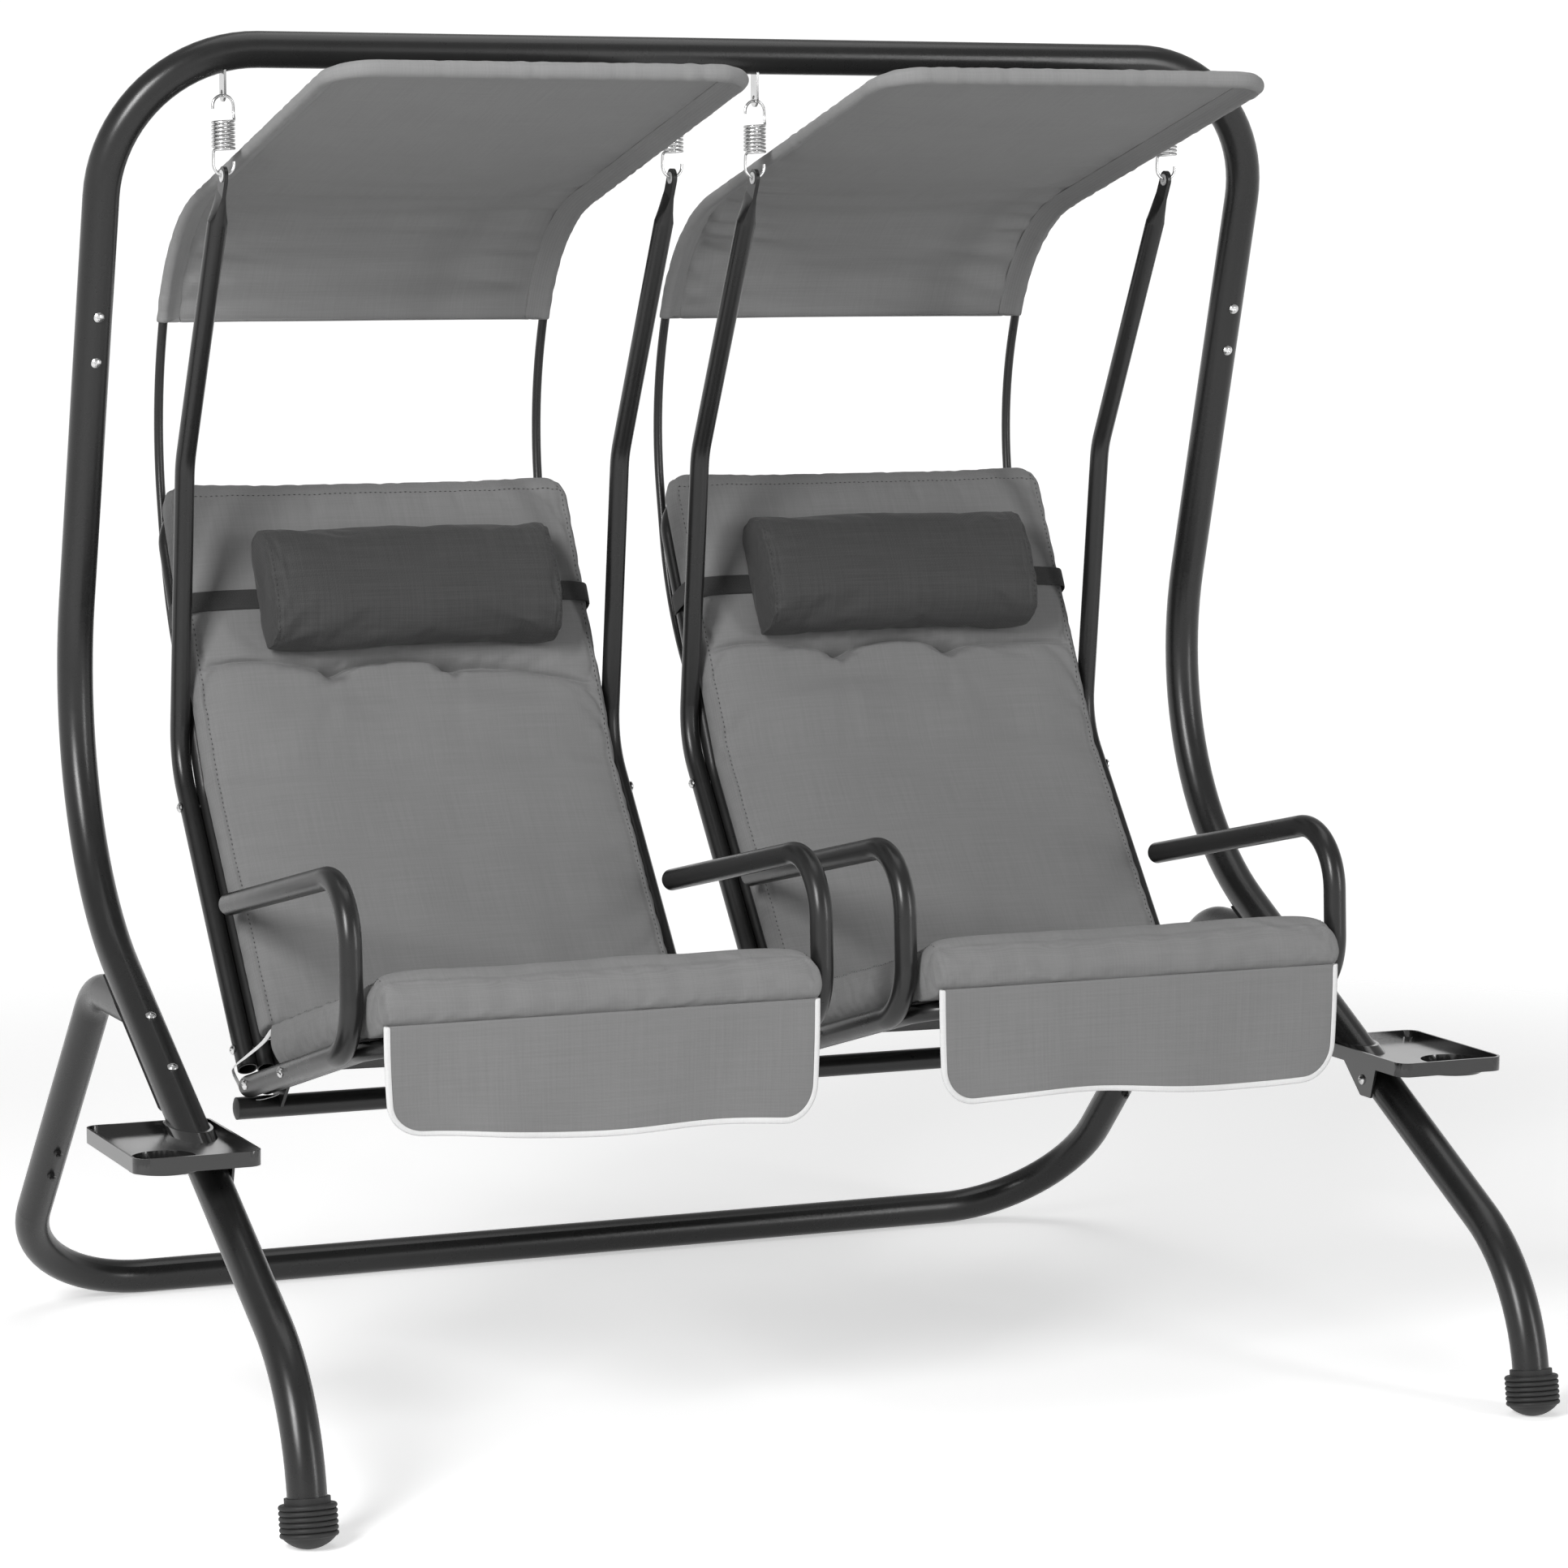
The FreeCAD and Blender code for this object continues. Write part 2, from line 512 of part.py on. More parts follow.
def make_tray(name, sign):
    """A moulded tray: rim, floor, cup well, collar round the side tube and a bolted gusset."""
    wall = size("tray_wall")
    top = size("tray_top_z")
    inner = half - size("tray_inner")
    low = Vector(inner, size("tray_back_y") - size("tray_length"), top - size("tray_height"))
    high = Vector(inner + size("tray_width"), size("tray_back_y"), top)
    tray = rounded_block(low, high, size("tray_corner"))
    rim = Vector(wall, wall, 0)
    floor = top - size("tray_rim")
    hollow = rounded_block(Vector(low.x, low.y, floor) + rim, high - rim + Z_AXIS, size("tray_corner") - wall)
    under = floor - size("tray_floor")
    below = rounded_block(low + rim - Z_AXIS, Vector(high.x - wall, high.y - wall, under),
                          size("tray_corner") - wall)
    tray = tray.cut(hollow).cut(below)
    cup_r = size("cup_bore") / 2
    cup = Vector(half + size("cup_x"), size("cup_y"), floor - size("cup_depth"))
    tray = tray.fuse(Part.makeCylinder(cup_r + wall, size("cup_depth"), cup))
    axis = at_height(shin, knee, floor)
    axis.x = half
    reach = 3 * size("tube_od")
    collar = Part.makeCylinder(tube_r + size("collar_wall"), 2 * reach, axis - lower_way * reach, lower_way)
    slab = Part.makeBox(high.x - low.x, high.y - low.y, size("tray_height"), low)
    tray = tray.fuse(collar.common(slab))
    gusset_x = half - tube_r - size("collar_fit") - wall
    bolt_at = tray_bolt_place(1)
    tip = low.z - size("gusset_drop")
    corners = [Vector(gusset_x, bolt_at.y + reach_y, z) for reach_y, z in (
        (size("gusset_rear"), under), (-size("gusset_front"), under),
        (-size("gusset_tip_front"), tip), (size("gusset_tip_rear"), tip))]
    plate = Part.Face(Part.makePolygon(corners + corners[:1])).extrude(X_AXIS * wall)
    tray = tray.fuse(plate)
    well = Part.makeCylinder(cup_r, size("cup_depth"), cup + Z_AXIS * wall)
    tunnel = Part.makeCylinder(tube_r + size("collar_fit"), 2 * reach, axis - lower_way * reach, lower_way)
    hole = Part.makeCylinder(size("bolt_hole") / 2, reach, bolt_at - X_AXIS * reach, X_AXIS)
    tray = tray.cut(well).cut(tunnel).cut(hole).removeSplitter()
    tray = tray.Solids[0]
    if sign < 0:
        tray = tray.mirror(Vector(), X_AXIS)
    feature(f"tray_{name}", tray)


def make_spring_brackets(bar_solid):
    """Flat tabs under the top bar, one for each spring, cut to the bar."""
    width = size("tab_width")
    thick = size("tab_thick")
    hole_r = size("tab_hole") / 2
    eye = Vector(0, bar.y, spring_top + hole_r - size("wire_d") / 2 - size("wire_gap"))
    tabs = []
    for x in hanger_places:
        start = Vector(x - thick / 2, eye.y, eye.z)
        tab = Part.makeCylinder(width / 2, thick, start, X_AXIS)
        tab = tab.fuse(Part.makeBox(thick, width, bar.z - eye.z, start - Y_AXIS * (width / 2)))
        tab = tab.cut(Part.makeCylinder(hole_r, thick, start, X_AXIS)).cut(bar_solid)
        tabs.append(tab.removeSplitter().Solids[0])
    feature("spring_brackets", Part.makeCompound(tabs))


def make_stand_bolts():
    """Bright bolts of the top joints, saddles and trays, and the dark ones of the rear legs."""
    bright = []
    dark = []
    for name, sign in SIDES:
        x = sign * half
        for point in moved_x(top_bolts, x):
            bright.append(bolt(point + upper_front * tube_r, upper_front, 2 * tube_r))
        for point in moved_x(saddle_bolts, x):
            grip = 2 * tube_r + size("saddle_thick")
            bright.append(bolt(point + lower_front * tube_r, lower_front, grip))
        inward = X_AXIS * -sign
        skin = tube_r + size("collar_fit") + size("tray_wall")
        bright.append(bolt(tray_bolt_place(sign) + inward * skin, inward, skin + tube_r))
        for point in moved_x(leg_bolts, x):
            dark.append(bolt(point + leg_front * tube_r, leg_front, 2 * tube_r))
    feature("joint_bolts", Part.makeCompound(bright))
    feature("leg_bolts", Part.makeCompound(dark))


# Springs

spring_top = bar.z - size("spring_drop")
coil_r = size("coil_r")
wire_r = size("wire_d") / 2
coil_end = 2 * math.pi * size("coil_turns") - math.asin(size("hook_bend") / coil_r)
coil_half = size("coil_pitch") * (coil_end - math.pi / 2) / (2 * math.pi)
hook_top = coil_half + size("hook_rise") + coil_r
spring_bottom = spring_top - 2 * hook_top
hanger_x = size("pad_half") + size("pad_side") + size("hanger_od") / 2
hanger_places = [sign * size("seat_pitch") / 2 + turn * hanger_x for _, sign in SIDES for turn in (-1, 1)]


def coil_point(angle):
    """Place and direction on the coil's helix, whose middle is the origin."""
    climb = size("coil_pitch") / (2 * math.pi)
    place = Vector(coil_r * math.cos(angle), coil_r * math.sin(angle), climb * (angle - math.pi / 2))
    way = Vector(-coil_r * math.sin(angle), coil_r * math.cos(angle), climb)
    return place, way.normalize()


def arc_from(start, way, end):
    """The arc that leaves start along way and reaches end."""
    chord = end - start
    swing = way.getAngle(chord)
    out = way - chord * (way.dot(chord) / chord.dot(chord))
    middle = (start + end) * 0.5 + out.normalize() * (chord.Length / 2 * math.tan(swing / 2))
    return Part.Arc(start, middle, end).toShape()


def biarc(start, start_way, end, end_way):
    """Two tangent arcs between two points with given directions."""
    gap = end - start
    both = start_way + end_way
    a = 2 * (start_way.dot(end_way) - 1)
    b = -2 * gap.dot(both)
    c = gap.dot(gap)
    reach = (-b - math.sqrt(b * b - 4 * a * c)) / (2 * a)
    if reach < 0:
        reach = (-b + math.sqrt(b * b - 4 * a * c)) / (2 * a)
    middle = (start + start_way * reach + end - end_way * reach) * 0.5
    return [arc_from(start, start_way, middle), arc_from(end, end_way * -1, middle)]


def spring_half_stops():
    """Stops along the upper half: coil by quarter turns, then up into the hook."""
    stops = []
    angle = math.pi / 2
    while angle < coil_end - math.pi / 4:
        stops.append(coil_point(angle))
        angle += math.pi / 2
    stops.append(coil_point(coil_end))
    rise = Vector(coil_r, 0, coil_half + 2 * size("hook_bend"))
    stops.append((rise, Z_AXIS))
    return stops


def spring_wire():
    """The spring's centre line: hook, coil and hook, alike after half a turn about Y."""
    stops = spring_half_stops()
    upper = []
    for (start, start_way), (end, end_way) in zip(stops, stops[1:]):
        upper += biarc(start, start_way, end, end_way)
    centre = Vector(0, 0, coil_half + size("hook_rise"))
    across = X_AXIS * coil_r
    rise = stops[-1][0]
    upper.append(Part.makeLine(rise, centre + across))
    lift = Z_AXIS * coil_r
    slant = (across + lift) * math.sqrt(0.5)
    upper.append(Part.Arc(centre + across, centre + slant, centre + lift).toShape())
    slant.x = -slant.x
    upper.append(Part.Arc(centre + lift, centre + slant, centre - across).toShape())
    upper.append(Part.makeLine(centre - across, centre - across - Z_AXIS * size("wire_d")))
    lower = []
    for edge in upper:
        other = edge.copy()
        other.rotate(Vector(), Y_AXIS, 180)
        lower.append(other)
    return Part.Wire(Part.__sortEdges__(lower[::-1] + upper))


def least_gap(wire):
    """The least clear distance between stretches of a wire that aren't neighbours."""
    count = 600
    points = wire.discretize(count)
    step = wire.Length / (count - 1)
    skip = int(3 * size("wire_d") / step) + 1
    near = min(a.distanceToPoint(b) for i, a in enumerate(points) for b in points[i + skip:])
    return near - size("wire_d")


def make_springs(name, places):
    """The two springs of one seat, each one unbroken wire."""
    wire = spring_wire()
    solid = swept(wire, wire_r)
    expected = math.pi * wire_r ** 2 * wire.Length
    print(name, "spring gap", round(least_gap(wire), 2), "volume share", round(solid.Volume / expected, 4))
    springs = []
    for x in places:
        spring = solid.copy()
        spring.translate(Vector(x, bar.y, spring_top - hook_top))
        springs.append(spring)
    feature(f"{name}_springs", Part.makeCompound(springs))


# Seats

eye = side(size("bar_y"), spring_bottom - (size("bush_bore") / 2 - wire_r - size("eyelet_gap")))
hang_high = side(size("hang_high_y"), size("hang_high_z"))
hang_mid = side(size("hang_mid_y"), size("hang_mid_z"))
hang_low = side(size("hang_low_y"), size("hang_low_z"))
recline = at_height(hang_low, hang_mid, size("recline_z"))
back_top = side(size("back_top_y"), size("back_top_z"))
low_way = unit(hang_low, hang_mid)
back_way = unit(recline, back_top)
back_front = Vector(0, -back_way.z, back_way.y)
hang_foot = hang_low + low_way * size("hang_end")
tilt = math.radians(size("seat_tilt"))
seat_way = Vector(0, -math.cos(tilt), math.sin(tilt))
seat_up = Vector(0, math.sin(tilt), math.cos(tilt))
arm_foot = side(size("arm_foot_y"), size("arm_foot_z"))
seat_rear = arm_foot + seat_way * ((size("seat_rear_y") - arm_foot.y) / seat_way.y)
seat_front = arm_foot + seat_way * ((size("seat_front_y") - arm_foot.y) / seat_way.y)
arm_end = arm_foot + seat_way * ((size("arm_low_y") - arm_foot.y) / seat_way.y)
rail_r = size("rail_od") / 2
rail_x = hanger_x - size("hanger_od") / 2 - rail_r - size("side_gap")
arm_x = rail_x + rail_r + size("arm_od") / 2 + size("side_gap")
cross_half = arm_x + size("arm_od") / 2
cross_middle = seat_rear - seat_up * (size("arm_od") / 2 + size("rail_od") / 2 + size("side_gap"))
arm_low_z = "dim.arm_foot_z - (dim.arm_low_y - dim.arm_foot_y) * tan(dim.seat_tilt * 1deg)"
hang_bolts = [at_height(hang_low, hang_mid, z) for z in (recline.z - rail_r, hang_foot.z + 2 * rail_r)]
arm_bolts = [arm_end + seat_way * reach for reach in (size("arm_od"), size("arm_bolt_reach"))]
sling_top = rail_r + size("sling_thick")
pad_base = sling_top + size("cloth_gap")
back_line = [hang_foot, recline, back_top]
crown_top = pad_base + size("pad_edge") + size("pad_crown")
flap_half = size("pad_half") - size("flap_inset")
canopy_foot = side(size("canopy_foot_y"), size("canopy_foot_z"))
canopy_front = side(size("canopy_front_y"), size("canopy_front_z"))
canopy_line = [canopy_foot] + [side(size(f"canopy_{part}_y"), size(f"canopy_{part}_z"))
                               for part in ("low", "rear", "top")] + [canopy_front]
canopy_bends = [size(f"canopy_{part}_bend") for part in ("low", "rear", "top")]


def shifted(shape, x):
    """A shape moved along X to its seat."""
    moved = shape.copy()
    moved.translate(Vector(x, 0, 0))
    return moved


def eyelet():
    """The flattened top of a hanger: a flat eye and the taper into the round tube."""
    way = unit(eye, hang_high)
    wide = size("eyelet_width") / 2
    thin = size("eyelet_thick") / 2
    flat = size("eyelet_flat")
    plate = Part.makeCylinder(wide, 2 * thin, Vector(), Z_AXIS)
    plate.Placement = Placement(Vector(-thin, 0, 0), Rotation(Z_AXIS, X_AXIS))
    neck = Part.makeBox(2 * thin, 2 * wide, flat, Vector(-thin, -wide, 0))
    turn = Rotation(Z_AXIS, way)
    round_r = size("hanger_od") / 2
    corners = [(-1, -1), (1, -1), (1, 1), (-1, 1)]
    oval = [Vector(u * thin, v * wide, flat) for u, v in corners]
    rise = Z_AXIS * size("eyelet_taper")
    ring = [Vector(u, v, 0) * (round_r * math.sqrt(0.5)) + rise for u, v in corners]
    middles = [Vector(0, -round_r, 0), Vector(round_r, 0, 0), Vector(0, round_r, 0), Vector(-round_r, 0, 0)]
    low = Part.makePolygon(oval + oval[:1])
    high = Part.Wire([Part.Arc(ring[i], middles[i] + rise, ring[(i + 1) % 4]).toShape() for i in range(4)])
    taper = Part.makeLoft([low, high], True, True)
    shape = neck.fuse(taper)
    shape.Placement = Placement(Vector(), turn)
    shape = shape.fuse(plate)
    shape = shape.cut(Part.makeCylinder(size("bush_od") / 2 + size("running_gap"), 4 * thin,
                                        Vector(-2 * thin, 0, 0), X_AXIS))
    shape.translate(eye)
    return shape.removeSplitter()


def make_hanger(seat, part, seat_x, turn):
    """A hanger tube in the side plane of its seat, with its eyelet on top."""
    way = unit(eye, hang_high)
    start = eye + way * size("eyelet_taper")
    x = seat_x + turn * hanger_x
    body, _ = bent_tube(
        f"{seat}_{part}_tube", "YZ_Plane",
        [(f"{start.y}", f"{start.z}"), ("dim.hang_high_y", "dim.hang_high_z"),
         ("dim.hang_mid_y", "dim.hang_mid_z"), (f"{hang_foot.y}", f"{hang_foot.z}")],
        ["dim.hang_high_bend", "dim.hang_mid_bend"], "dim.hanger_od", "dim.hanger_wall",
        Placement(Vector(x, 0, 0), Rotation()))
    tip = doc.addObject("Part::Feature", f"{seat}_{part}_eyelet")
    tip.Shape = shifted(eyelet(), x)
    joined = doc.addObject("Part::Fuse", f"{seat}_{part}_joined")
    joined.Base = body
    joined.Tool = tip
    reach = 3 * size("hanger_od")
    drilled(joined, f"{seat}_{part}", [(point, X_AXIS, reach) for point in moved_x(hang_bolts, x)])


def make_arm(seat, part, seat_x, turn):
    """A bent armrest tube bolted along the seat rail, its upper end free."""
    x = seat_x + turn * arm_x
    body, _ = bent_tube(
        f"{seat}_{part}_tube", "YZ_Plane",
        [("dim.arm_rear_y", "dim.arm_rear_z"), ("dim.arm_top_y", "dim.arm_top_z"),
         ("dim.arm_foot_y", "dim.arm_foot_z"), ("dim.arm_low_y", arm_low_z)],
        ["dim.arm_bend", "dim.arm_bend"], "dim.arm_od", "dim.arm_wall",
        Placement(Vector(x, 0, 0), Rotation()))
    reach = 2 * size("arm_od")
    drilled(body, f"{seat}_{part}", [(point, X_AXIS, reach) for point in moved_x(arm_bolts, x)])


def plug(place, way):
    """A domed plastic plug in the end of an armrest or cross bar, which share one tube size."""
    outer = size("arm_od") / 2
    stem_r = outer - size("arm_wall") - size("running_gap")
    rise = size("plug_rise")
    stem = size("plug_stem")
    dome = cap_arc(outer, rise / 3, rise)
    outline = [Vector(0, 0, rise), Vector(0, 0, -stem), Vector(stem_r, 0, -stem), Vector(stem_r, 0, 0),
               Vector(outer, 0, 0), Vector(outer, 0, rise / 3)]
    edges = Part.makePolygon(outline).Edges + [dome]
    shape = Part.Face(Part.Wire(Part.__sortEdges__(edges))).revolve(Vector(), Z_AXIS, 360)
    shape.Placement = Placement(place, Rotation(Z_AXIS, way))
    return shape


def make_plugs(seat, seat_x):
    """The plugs of both armrests, top and bottom ends."""
    arm_rear = side(size("arm_rear_y"), size("arm_rear_z"))
    arm_top = side(size("arm_top_y"), size("arm_top_z"))
    plugs = []
    for turn in (-1, 1):
        x = seat_x + turn * arm_x
        plugs.append(shifted(plug(arm_rear, unit(arm_top, arm_rear)), x))
        plugs.append(shifted(plug(arm_end, seat_way * -1), x))
        plugs.append(shifted(plug(cross_middle, X_AXIS * turn), seat_x + turn * cross_half))
    feature(f"{seat}_tube_plugs", Part.makeCompound(plugs))


def rail_tube(points, bends, outer_r, wall):
    """A tube along points in space."""
    wire = path_wire(points, bends)
    return swept(wire, outer_r).cut(swept(wire, outer_r - wall))


def make_frames(seat, seat_x):
    """Tubes behind and under the cushion: back frame, seat frame and rear cross bar."""
    wall = size("rail_wall")
    corner = size("rail_corner")
    left = [Vector(-rail_x, point.y, point.z) for point in back_line]
    right = [Vector(rail_x, point.y, point.z) for point in reversed(back_line)]
    bend = size("rail_bend")
    back = rail_tube(left + right, [bend, corner, corner, bend], rail_r, wall)
    drill = size("bolt_hole") / 2
    for point in hang_bolts:
        back = back.cut(Part.makeCylinder(drill, 4 * rail_x, Vector(-2 * rail_x, point.y, point.z), X_AXIS))
    feature(f"{seat}_back_frame", shifted(back, seat_x))
    ends = [Vector(x, point.y, point.z) for x, point in
            ((-rail_x, seat_rear), (-rail_x, seat_front), (rail_x, seat_front), (rail_x, seat_rear))]
    base = rail_tube(ends, [corner, corner], rail_r, wall)
    for point in arm_bolts:
        base = base.cut(Part.makeCylinder(drill, 4 * rail_x, Vector(-2 * rail_x, point.y, point.z), X_AXIS))
    feature(f"{seat}_seat_frame", shifted(base, seat_x))
    start = cross_middle - X_AXIS * cross_half
    cross = Part.makeCylinder(size("arm_od") / 2, 2 * cross_half, start, X_AXIS)
    bore = Part.makeCylinder(size("arm_od") / 2 - size("arm_wall"), 2 * cross_half, start, X_AXIS)
    thick = size("link_thick")
    corners = [cross_middle, hang_bolts[-1], arm_bolts[0]]
    plate = Part.Face(Part.makePolygon(corners + corners[:1])).makeOffset2D(size("link_edge"))
    link = plate.extrude(X_AXIS * thick)
    for x in (rail_r - rail_x, rail_x - rail_r - thick):
        cross = cross.fuse(shifted(link, x))
    for point in (hang_bolts[-1], arm_bolts[0]):
        cross = cross.cut(Part.makeCylinder(drill, 4 * rail_x, point - X_AXIS * (2 * rail_x), X_AXIS))
    feature(f"{seat}_rear_crossbar", shifted(cross.cut(bore).removeSplitter(), seat_x))


def make_slings(seat, seat_x):
    """Stretched cloth over the back and seat rails."""
    sling_half = rail_x + size("sling_over")
    inset = size("sling_inset")
    line = [hang_foot + low_way * inset, recline, back_top - back_way * inset]
    back = side_band(line, [size("rail_bend")], rail_r, sling_top).extrude(X_AXIS * (2 * sling_half))
    feature(f"{seat}_back_sling", shifted(back, seat_x - sling_half))
    rear = seat_rear + seat_way * size("seat_sling_inset")
    front = seat_front - seat_way * (inset / 2)
    low, high = seat_up * rail_r, seat_up * sling_top
    corners = [rear + low, front + low, front + high, rear + high]
    base = Part.Face(Part.makePolygon(corners + corners[:1])).extrude(X_AXIS * (2 * sling_half))
    feature(f"{seat}_seat_sling", shifted(base, seat_x - sling_half))


def pad_section(place, up, edge, swell):
    """A pad's cross-section: flat below, sides that bulge, a crowned top."""
    wide = size("pad_half")
    draw = size("pad_draw")
    across = X_AXIS * (wide - draw)
    low_left, low_right = place - across, place + across
    high_left, high_right = low_left + up * edge, low_right + up * edge
    side_up = up * (edge / 2)
    out = X_AXIS * draw
    return Part.Wire([
        Part.makeLine(low_left, low_right),
        Part.Arc(low_right, low_right + side_up + out, high_right).toShape(),
        Part.Arc(high_right, place + up * (edge + swell), high_left).toShape(),
        Part.Arc(high_left, low_left + side_up - out, low_left).toShape()])


def pad_outline(start, way, up, length, far_round, near_round):
    """A pad's plan: sides drawn in between its corners, as a tall prism."""
    wide = size("pad_half") + size("pad_draw")
    draw = size("pad_draw")
    end = start + way * length
    across = X_AXIS * wide
    inner = X_AXIS * (wide - draw)
    middle = start + way * (length / 2)
    near_left, near_right = start - across, start + across
    far_left, far_right = end - across, end + across
    plan = Part.Face(Part.Wire([
        Part.makeLine(near_left, near_right), Part.Arc(near_right, middle + inner, far_right).toShape(),
        Part.makeLine(far_right, far_left), Part.Arc(far_left, middle - inner, near_left).toShape()]))
    tall = 6 * size("seat_pad_edge")
    prism = plan.extrude(up * tall)
    prism.translate(up * (-tall / 3))
    for radius, point in ((far_round, end), (near_round, start)):
        if radius:
            upright = [edge for edge in prism.Edges if abs(edge.tangentAt(edge.FirstParameter).dot(up)) > 0.99
                       and abs((edge.CenterOfMass - point).dot(way)) < 1]
            prism = prism.makeFillet(radius, upright)
    return prism


def make_back_cushion(seat, seat_x):
    """The back pad: crowned, bent with the back frame, with a cross seam and two tufts."""
    start = hang_foot + low_way * size("back_pad_start")
    end = back_top + back_way * size("back_pad_rise")
    line = [start, recline, end]
    base = offset_side(line, pad_base)
    spine = path_wire(base, [size("rail_bend") - pad_base])
    low_up = Vector(0, -low_way.z, low_way.y)
    section = pad_section(base[0], low_up, size("pad_edge"), size("pad_crown"))
    pad = spine.makePipeShell([section], True, False)
    chord = unit(base[0], base[-1])
    up = Vector(0, -chord.z, chord.y)
    length = base[0].distanceToPoint(base[-1])
    slack = size("pad_edge")
    plan = pad_outline(base[0] - chord * slack, chord, up, length + slack, size("pad_corner"), 0)
    pad = pad.common(plan)
    seam = at_height(recline, back_top, size("seam_z")) + back_front * crown_top
    groove_r = size("seam_r")
    lift = back_front * (groove_r - size("seam_depth"))
    across = X_AXIS * (size("pad_half") - size("pad_draw"))
    fall = back_front * size("pad_crown")
    groove = Part.Arc(seam + lift - fall - across, seam + lift, seam + lift - fall + across).toShape()
    pad = pad.cut(swept(Part.Wire(groove), groove_r))
    tuft_r = size("tuft_r")
    for turn in (-0.5, 0.5):
        place = seam + back_front * (tuft_r - size("tuft_depth")) + X_AXIS * (turn * size("tuft_spread"))
        pad = pad.cut(Part.makeSphere(tuft_r, place))
    feature(f"{seat}_back_cushion", shifted(pad.Solids[0], seat_x))


def seat_pad_start():
    """The front end of the seat pad's base line."""
    rear = seat_rear + seat_up * pad_base
    return rear + seat_way * ((size("seat_pad_front") - rear.y) / seat_way.y)


def make_seat_cushion(seat, seat_x):
    """The seat pad: crowned, with a rounded front roll, cut back where the back pad stands."""
    edge = size("seat_pad_edge")
    swell = size("seat_pad_crown")
    start = seat_pad_start()
    length = start.distanceToPoint(seat_rear + seat_up * pad_base)
    section = pad_section(start, seat_up, edge, swell)
    pad = Part.Face(section).extrude(seat_way * -length)
    plan = pad_outline(start, seat_way * -1, seat_up, length + edge, 0, size("pad_corner") / 3)
    pad = pad.common(plan)
    low_r, high_r = size("roll_r"), size("roll_top_r")
    high = start + seat_up * (edge + swell)
    base_rear, top_rear = start - seat_way * length, high - seat_way * length
    base_front, face_low = start - seat_way * low_r, start + seat_up * low_r
    top_front, face_high = high - seat_way * high_r, high - seat_up * high_r
    upper = Part.Arc(top_front, high - (seat_way + seat_up) * (high_r * CORNER_CUT), face_high).toShape()
    lower = Part.Arc(face_low, start + (seat_up - seat_way) * (low_r * CORNER_CUT), base_front).toShape()
    edges = [Part.makeLine(base_front, base_rear), Part.makeLine(base_rear, top_rear),
             Part.makeLine(top_rear, top_front), upper, Part.makeLine(face_high, face_low), lower]
    profile = Part.Face(Part.Wire(edges)).extrude(X_AXIS * (4 * size("pad_half")))
    profile.translate(X_AXIS * (-2 * size("pad_half")))
    pad = pad.common(profile)
    clear = crown_top + size("cloth_gap")
    low_up = Vector(0, -low_way.z, low_way.y)
    wall_start = hang_low - low_way * length + low_up * clear
    wall = Part.makeBox(4 * size("pad_half"), 2 * length, 3 * length)
    turn = Rotation(X_AXIS, math.degrees(math.atan2(-low_way.y, low_way.z)))
    wall.Placement = Placement(wall_start - X_AXIS * (2 * size("pad_half")), turn)
    pad = pad.cut(wall)
    feature(f"{seat}_seat_cushion", shifted(pad.Solids[0], seat_x))


def make_headrest(seat, seat_x):
    """The bolster on the back pad and the webbing loop that holds it."""
    centre = at_height(recline, back_top, size("headrest_z"))
    rear = centre + back_front * (crown_top + size("strap_thick") + 2 * size("cloth_gap"))
    tall = back_way * (size("headrest_tall") / 2)
    deep = back_front * size("headrest_deep")
    wide = size("headrest_half")
    soft = size("headrest_soft")
    belly = size("headrest_belly")
    sections = []
    for along, share in ((-wide, size("headrest_end")), (size("headrest_edge") - wide, 1.0),
                         (wide - size("headrest_edge"), 1.0), (wide, size("headrest_end"))):
        half_tall = tall * share
        start = rear + X_AXIS * along + deep * ((1 - share) / 2)
        face = deep * share
        foot_low, foot_high = start - half_tall * soft, start + half_tall * soft
        face_low, face_high = foot_low + face * soft, foot_high + face * soft
        sections.append(Part.Wire([
            Part.makeLine(foot_high, foot_low),
            Part.Arc(foot_low, start - half_tall + face * belly, face_low).toShape(),
            Part.Arc(face_low, start + face, face_high).toShape(),
            Part.Arc(face_high, start + half_tall + face * belly, foot_high).toShape()]))
    bolster = Part.makeLoft(sections, True, True)
    feature(f"{seat}_headrest", shifted(bolster, seat_x))
    reach = size("pad_half") + size("strap_slack")
    thick = size("strap_thick")
    back_edge = -rail_r - size("running_gap")
    front_edge = crown_top + size("cloth_gap")
    shoulder = pad_base + size("pad_edge")
    low_edge = centre - back_way * (size("strap_width") / 2)
    outline = []
    for grow in (0, thick):
        across = reach + grow
        behind = back_edge - grow
        ahead = front_edge + grow
        corners = [(-across, behind), (across, behind), (across, shoulder), (wide, ahead), (-wide, ahead),
                   (-across, shoulder)]
        points = [low_edge + X_AXIS * x + back_front * n for x, n in corners]
        outline.append(Part.Face(Part.makePolygon(points + points[:1])))
    band = outline[1].cut(outline[0]).extrude(back_way * size("strap_width"))
    feature(f"{seat}_headrest_strap", shifted(band, seat_x))


